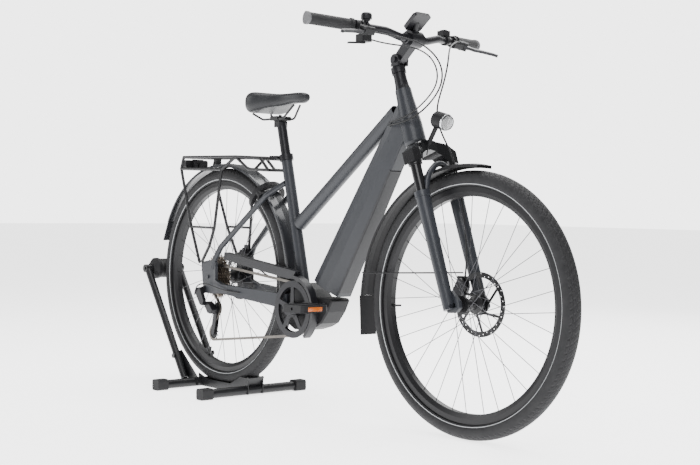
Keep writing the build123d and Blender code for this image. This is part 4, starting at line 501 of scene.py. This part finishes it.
class BICYCLE_OT_tyres(bpy.types.Operator):
    """Tyres with rounded walls, tread blocks and a reflecting ring"""
    bl_idname = "bicycle.tyres"
    bl_label = "Tyres"

    def execute(self, context):
        size = sizes()
        half = size.tyre_width / 2
        middle = size.tyre_radius - half
        for end, hub, axle in (("front", FRONT_HUB, FRONT_AXLE), ("rear", REAR_HUB, Vector((0, 1, 0)))):
            points = []
            for step in range(-12, 13):
                turn = math.radians(step * 10.9)
                points.append((middle + half * math.cos(turn), half * math.sin(turn)))
            points += [(0.3195, 0.0125), (0.3125, 0.0122), (0.3122, 0.0088), (0.3190, 0.0085),
                (0.3200, 0.0125 - 0.004)]
            inner = []
            for step in range(10, -11, -1):
                turn = math.radians(step * 11.5)
                inner.append((middle + (half - 0.003) * math.cos(turn), (half - 0.003) * math.sin(turn)))
            points += inner
            points += [(0.3200, -0.0085), (0.3190, -0.0085), (0.3122, -0.0088), (0.3125, -0.0122),
                (0.3195, -0.0125)]
            form = spin_profile(points, 160)
            bmesh.ops.transform(form, matrix=wheel_matrix(hub, axle), verts=form.verts)
            finish = tyre_finish("tyre_rubber_" + end, hub, axle)
            place(to_mesh(form, "tyre_" + end + "_skin"), "tyre_" + end + "_skin", finish,
                end + "_wheel", "tyre_rubber", ["tyre_" + end])
        return {"FINISHED"}


def at(x, y, z):
    """Row place of a point given in millimetres from the rear axle's foot."""
    return Vector(((x - REAR_AXLE_FROM_ORIGIN) * MM, y * MM, z * MM))


def cord_mesh(name, points, diameter):
    """Round cord along a smooth curve through its control points, as mesh data."""
    curve = bpy.data.curves.new(name, "CURVE")
    curve.dimensions = "3D"
    spline = curve.splines.new("NURBS")
    spline.points.add(len(points) - 1)
    for control, point in zip(spline.points, points):
        control.co = (*at(*point), 1.0)
    spline.order_u = 4
    spline.use_endpoint_u = True
    spline.resolution_u = 10
    curve.bevel_depth = diameter / 2
    curve.bevel_resolution = 3
    curve.use_fill_caps = True
    holder = bpy.data.objects.new(name, curve)
    bpy.context.scene.collection.objects.link(holder)
    graph = bpy.context.evaluated_depsgraph_get()
    data = bpy.data.meshes.new_from_object(holder.evaluated_get(graph))
    bpy.data.objects.remove(holder)
    for polygon in data.polygons:
        polygon.use_smooth = True
    return data


SHIFT_CABLE = [(883, -143.6, 1080), (902, -100, 1068), (942, -58, 1066), (990, -32, 1047),
    (1023, -20, 1010),
    (1034, -22, 953), (976, -31, 900), (917, -40, 866), (862, -42, 858.5), (839, -28, 858.5)]
REAR_HOSE_LOOP = [(913, -155, 1096), (944, -112, 1086), (972, -62, 1080), (1008, -32, 1052),
    (1038, -14, 1010),
    (1044, -15, 950), (985, -24, 889), (924, -40, 856), (862, -42.5, 850.5), (839, -28, 851.5)]
FRONT_HOSE = [(921, 155, 1096), (945, 110, 1082), (985, 62, 1062), (1012, 34, 1018), (1010, 18, 955),
    (984, 14, 895),
    (988, 26, 835), (1022, 36, 780), (1048, 38, 722), (1066, 37, 655), (1080, 37, 590), (1090, 37, 525),
    (1090, 39, 470), (1082, 41, 430)]
REAR_SHIFT = [(178, -74.5, 338), (120, -85, 339), (60, -93, 352), (0, -97, 362), (-42, -97, 350),
    (-56.5, -90, 318)]
REAR_HOSE = [(330, 52, 368), (260, 60, 372), (190, 69, 376), (130, 76, 384), (92, 72, 402),
    (61.2, 58, 430.8)]


class BICYCLE_OT_cables(bpy.types.Operator):
    """Brake hoses and shift cable along their routes"""
    bl_idname = "bicycle.cables"
    bl_label = "Hoses and cable"

    def execute(self, context):
        hose = sizes().hose_width
        cable = hose - 0.0005
        loops = (
            ("shift_cable_loop", SHIFT_CABLE, cable, "cable_loop", "frame", "steering",
                at(862, -42, 858), at(1023, -20, 1010)),
            ("rear_hose_loop", REAR_HOSE_LOOP, hose, "cable_loop", "frame", "steering",
                at(862, -42, 851), at(1038, -14, 1010)),
            ("front_hose_run", FRONT_HOSE, hose, "front_hose", "steering", "fork_slider",
                at(984, 14, 895), at(1066, 37, 655)),
        )
        for name, points, width, node, first, second, start, end in loops:
            piece = bpy.data.objects.new(name, cord_mesh(name, points, width))
            context.scene.collection.objects.link(piece)
            piece.data.materials.append(FINISHES["hose"])
            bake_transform(piece)
            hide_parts(node)
        for name, points, width in (("rear_shift_run", REAR_SHIFT, cable),
            ("rear_hose_run", REAR_HOSE, hose)):
            place(cord_mesh(name, points, width), name, "hose", "frame", "soft_rubber", ["rear_cables"])
        return {"FINISHED"}


class BICYCLE_OT_saddle(bpy.types.Operator):
    """Padded saddle with a soft rounded skin"""
    bl_idname = "bicycle.saddle"
    bl_label = "Saddle"

    def execute(self, context):
        form = bmesh.new()
        form.from_mesh(frame["nodes"]["saddle"].data)
        bmesh.ops.remove_doubles(form, verts=form.verts, dist=0.00001)
        data = bpy.data.meshes.new("saddle_cushion")
        form.to_mesh(data)
        form.free()
        cushion = bpy.data.objects.new("saddle_cushion", data)
        context.scene.collection.objects.link(cushion)
        remesh = cushion.modifiers.new("even", "REMESH")
        remesh.mode = "VOXEL"
        remesh.voxel_size = 0.0035
        remesh.use_smooth_shade = True
        smooth = cushion.modifiers.new("soften", "SMOOTH")
        smooth.factor = 0.5
        smooth.iterations = 8
        graph = context.evaluated_depsgraph_get()
        soft = bpy.data.meshes.new_from_object(cushion.evaluated_get(graph))
        cushion.modifiers.clear()
        cushion.data = soft
        form = bmesh.new()
        form.from_mesh(soft)
        bmesh.ops.recalc_face_normals(form, faces=form.faces)
        form.to_mesh(soft)
        form.free()
        soft.materials.clear()
        soft.materials.append(FINISHES["saddle"])
        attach(cushion, "seat")
        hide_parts("saddle")
        return {"FINISHED"}


def rounded_block(name, size, centre, tilt=0.0, edge=0.002):
    """Block with rounded edges, turned about the Y axis, as mesh data."""
    form = bmesh.new()
    bmesh.ops.create_cube(form, size=1.0)
    bmesh.ops.scale(form, vec=size, verts=form.verts)
    bmesh.ops.bevel(form, geom=form.edges[:], offset=edge, offset_type="OFFSET", segments=3, profile=0.5,
                    material=-1, affect="EDGES")
    place_matrix = Matrix.Translation(centre) @ Matrix.Rotation(tilt, 4, "Y")
    bmesh.ops.transform(form, matrix=place_matrix, verts=form.verts)
    return to_mesh(form, name)


def faced(form, name, start, aim):
    """Turns a shape made round the Y axis to face along a line, as mesh data."""
    bmesh.ops.transform(form, matrix=wheel_matrix(start, aim), verts=form.verts)
    return to_mesh(form, name)


def lamp_dome(name, radius, rise, start, aim):
    """Shallow lens dome facing along a line, as mesh data."""
    points = [(0.0, rise), (radius * 0.4, rise * 0.85), (radius * 0.75, rise * 0.5), (radius, 0.0),
        (radius - 0.0006, -0.0008), (0.0, -0.0008)]
    return faced(spin_profile(points, 48), name, start, aim)


def bezel_ring(name, inner, outer, depth, start, aim):
    """Rounded ring round a lens, as mesh data."""
    middle = (inner + outer) / 2
    points = [(inner, 0.0), (inner, depth * 0.7), (middle, depth), (outer, depth * 0.7), (outer, 0.0)]
    return faced(spin_profile(points, 48), name, start, aim)


class BICYCLE_OT_lights(bpy.types.Operator):
    """Lamp lens and bezel, rear lens, screen glass and pedal reflectors"""
    bl_idname = "bicycle.lights"
    bl_label = "Lights, screen and reflectors"

    def execute(self, context):
        aim = (at(1045, 0, 850.6) - at(1040, 0, 852)).normalized()
        face = at(1045, 0, 850.6)
        place(lamp_dome("lamp_lens_dome", 0.0192, 0.0035, face + aim * 0.0009, aim), "lamp_lens_dome",
            "lens",
              "steering", "gloss_guard")
        place(bezel_ring("lamp_bezel", 0.0198, 0.0228, 0.0045, at(1040.6, 0, 851.8), aim),
            "lamp_bezel", "bright",
              "steering", "black_plastic")
        place(rounded_block("rear_lens", (0.006, 0.074, 0.020), at(-214.2, 0, 758), 0.0, 0.0025),
            "rear_lens",
              "red_lens", "frame", "gloss_guard")
        tilt = math.radians(-39)
        raised = Vector((math.sin(tilt), 0, math.cos(tilt))) * 0.0058
        spot = at(915, 0, 1139) + raised
        glass = rounded_block("screen_glass", (0.050, 0.050, 0.0008), spot, tilt, 0.0003)
        place(glass, "screen_glass", "screen", "steering", "gloss_guard")
        for side, pedal in (("right", "pedal_r"), ("left", "pedal_l")):
            low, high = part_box("pedal_" + side)
            low, high = Vector(low), Vector(high)
            middle = (low + high) / 2
            span = (high.y - low.y) - 0.044
            for end, x in (("front", high.x), ("back", low.x)):
                sign = 1 if end == "front" else -1
                name = "pedal_reflector_" + side + "_" + end
                spot = Vector((x - sign * 0.0002, middle.y, middle.z))
                place(rounded_block(name, (0.0016, span, 0.0125), spot, 0.0, 0.0005), name,
                    "reflector", pedal, "gloss_guard")
        return {"FINISHED"}


class BICYCLE_OT_metalwork(bpy.types.Operator):
    """Finishes of the frame, wheels, drive and stand"""
    bl_idname = "bicycle.metalwork"
    bl_label = "Frame and metalwork"

    def execute(self, context):
        make_finishes()
        dress_nodes()
        return {"FINISHED"}


class BICYCLE_OT_stage(bpy.types.Operator):
    """Floor, soft lights and the camera"""
    bl_idname = "bicycle.stage"
    bl_label = "Stage"

    def execute(self, context):
        scene = context.scene
        data = bpy.data.meshes.new("floor")
        form = bmesh.new()
        bmesh.ops.create_grid(form, x_segments=1, y_segments=1, size=30.0)
        form.to_mesh(data)
        form.free()
        floor = bpy.data.objects.new("floor", data)
        scene.collection.objects.link(floor)
        material, shader = new_finish("floor_paper")
        tone = noise(material, object_space(material), 1.5, 2.0)
        material.node_tree.links.new(ramp(material, tone,
            ((0.2, (0.86, 0.86, 0.87)), (0.8, (0.90, 0.90, 0.91)))), shader.inputs["Base Color"])
        shader.inputs["Roughness"].default_value = 0.55
        shader.inputs["Emission Color"].default_value = (1.0, 1.0, 1.0, 1.0)
        shader.inputs["Emission Strength"].default_value = 2.6
        data.materials.append(material)

        world = bpy.data.worlds.new("studio")
        world.use_nodes = True
        world.node_tree.nodes["Background"].inputs["Color"].default_value = (1.0, 1.0, 1.0, 1.0)
        world.node_tree.nodes["Background"].inputs["Strength"].default_value = 0.38
        seen = world.node_tree.nodes.new("ShaderNodeBackground")
        seen.inputs["Strength"].default_value = 5.0
        path = world.node_tree.nodes.new("ShaderNodeLightPath")
        either = world.node_tree.nodes.new("ShaderNodeMixShader")
        wires = world.node_tree.links
        wires.new(path.outputs["Is Camera Ray"], either.inputs["Fac"])
        wires.new(world.node_tree.nodes["Background"].outputs["Background"], either.inputs[1])
        wires.new(seen.outputs["Background"], either.inputs[2])
        wires.new(either.outputs["Shader"], world.node_tree.nodes["World Output"].inputs["Surface"])
        scene.world = world
        lamps = (
            ("key", (2.6, -2.6, 3.2), 2.4, 120.0),
            ("side", (-2.8, -2.4, 2.2), 2.0, 60.0),
            ("top", (0.0, 0.4, 3.8), 3.2, 230.0),
            ("back", (-1.0, 3.2, 2.4), 2.4, 80.0),
            ("low", (3.2, -0.6, 0.9), 1.4, 12.0),
        )
        for name, spot, width, power in lamps:
            lamp_data = bpy.data.lights.new(name, "AREA")
            lamp_data.shape = "SQUARE"
            lamp_data.size = width
            lamp_data.energy = power
            lamp = bpy.data.objects.new(name, lamp_data)
            lamp.location = spot
            lamp.rotation_euler = (Vector((0, 0, 0.55)) - Vector(spot)).to_track_quat("-Z", "Y").to_euler()
            scene.collection.objects.link(lamp)

        heading = math.radians(140.04)
        pitch = math.radians(-1.237)
        roll = math.radians(0.734)
        ahead = Vector((math.cos(pitch) * math.cos(heading), math.cos(pitch) * math.sin(heading),
            math.sin(pitch)))
        right = ahead.cross(Vector((0, 0, 1))).normalized()
        up = right.cross(ahead)
        turned_right = right * math.cos(roll) + up * math.sin(roll)
        turned_up = up * math.cos(roll) - right * math.sin(roll)
        matrix = Matrix((turned_right, turned_up, -ahead)).transposed().to_4x4()
        camera_data = bpy.data.cameras.new("viewpoint")
        camera_data.lens = 66.1
        camera_data.sensor_width = 36.0
        camera_data.clip_start = 0.05
        camera = bpy.data.objects.new("viewpoint", camera_data)
        camera.matrix_world = Matrix.Translation((3.031, -2.450, 0.625)) @ matrix
        scene.collection.objects.link(camera)
        scene.camera = camera
        return {"FINISHED"}


class BICYCLE_PT_pieces(bpy.types.Panel):
    """Lists the pieces of the bicycle in the sidebar"""
    bl_idname = "BICYCLE_PT_pieces"
    bl_label = "Bicycle on stand"
    bl_space_type = "VIEW_3D"
    bl_region_type = "UI"
    bl_category = "Bicycle"

    def draw(self, context):
        for operator in OPERATORS:
            self.layout.operator(operator.bl_idname)


OPERATORS = (
    BICYCLE_OT_metalwork,
    BICYCLE_OT_tyres,
    BICYCLE_OT_cables,
    BICYCLE_OT_saddle,
    BICYCLE_OT_lights,
    BICYCLE_OT_stage,
)
CLASSES = (BicycleSizes, BicycleColours, *OPERATORS, BICYCLE_PT_pieces)


def register():
    for cls in CLASSES:
        bpy.utils.register_class(cls)
    bpy.types.Scene.bicycle_sizes = bpy.props.PointerProperty(type=BicycleSizes)
    bpy.types.Scene.bicycle_colours = bpy.props.PointerProperty(type=BicycleColours)


def unregister():
    del bpy.types.Scene.bicycle_colours
    del bpy.types.Scene.bicycle_sizes
    for cls in reversed(CLASSES):
        bpy.utils.unregister_class(cls)


def main():
    register()
    for operator in OPERATORS:
        group, name = operator.bl_idname.split(".")
        getattr(getattr(bpy.ops, group), name)()


if __name__ == "__main__":
    main()
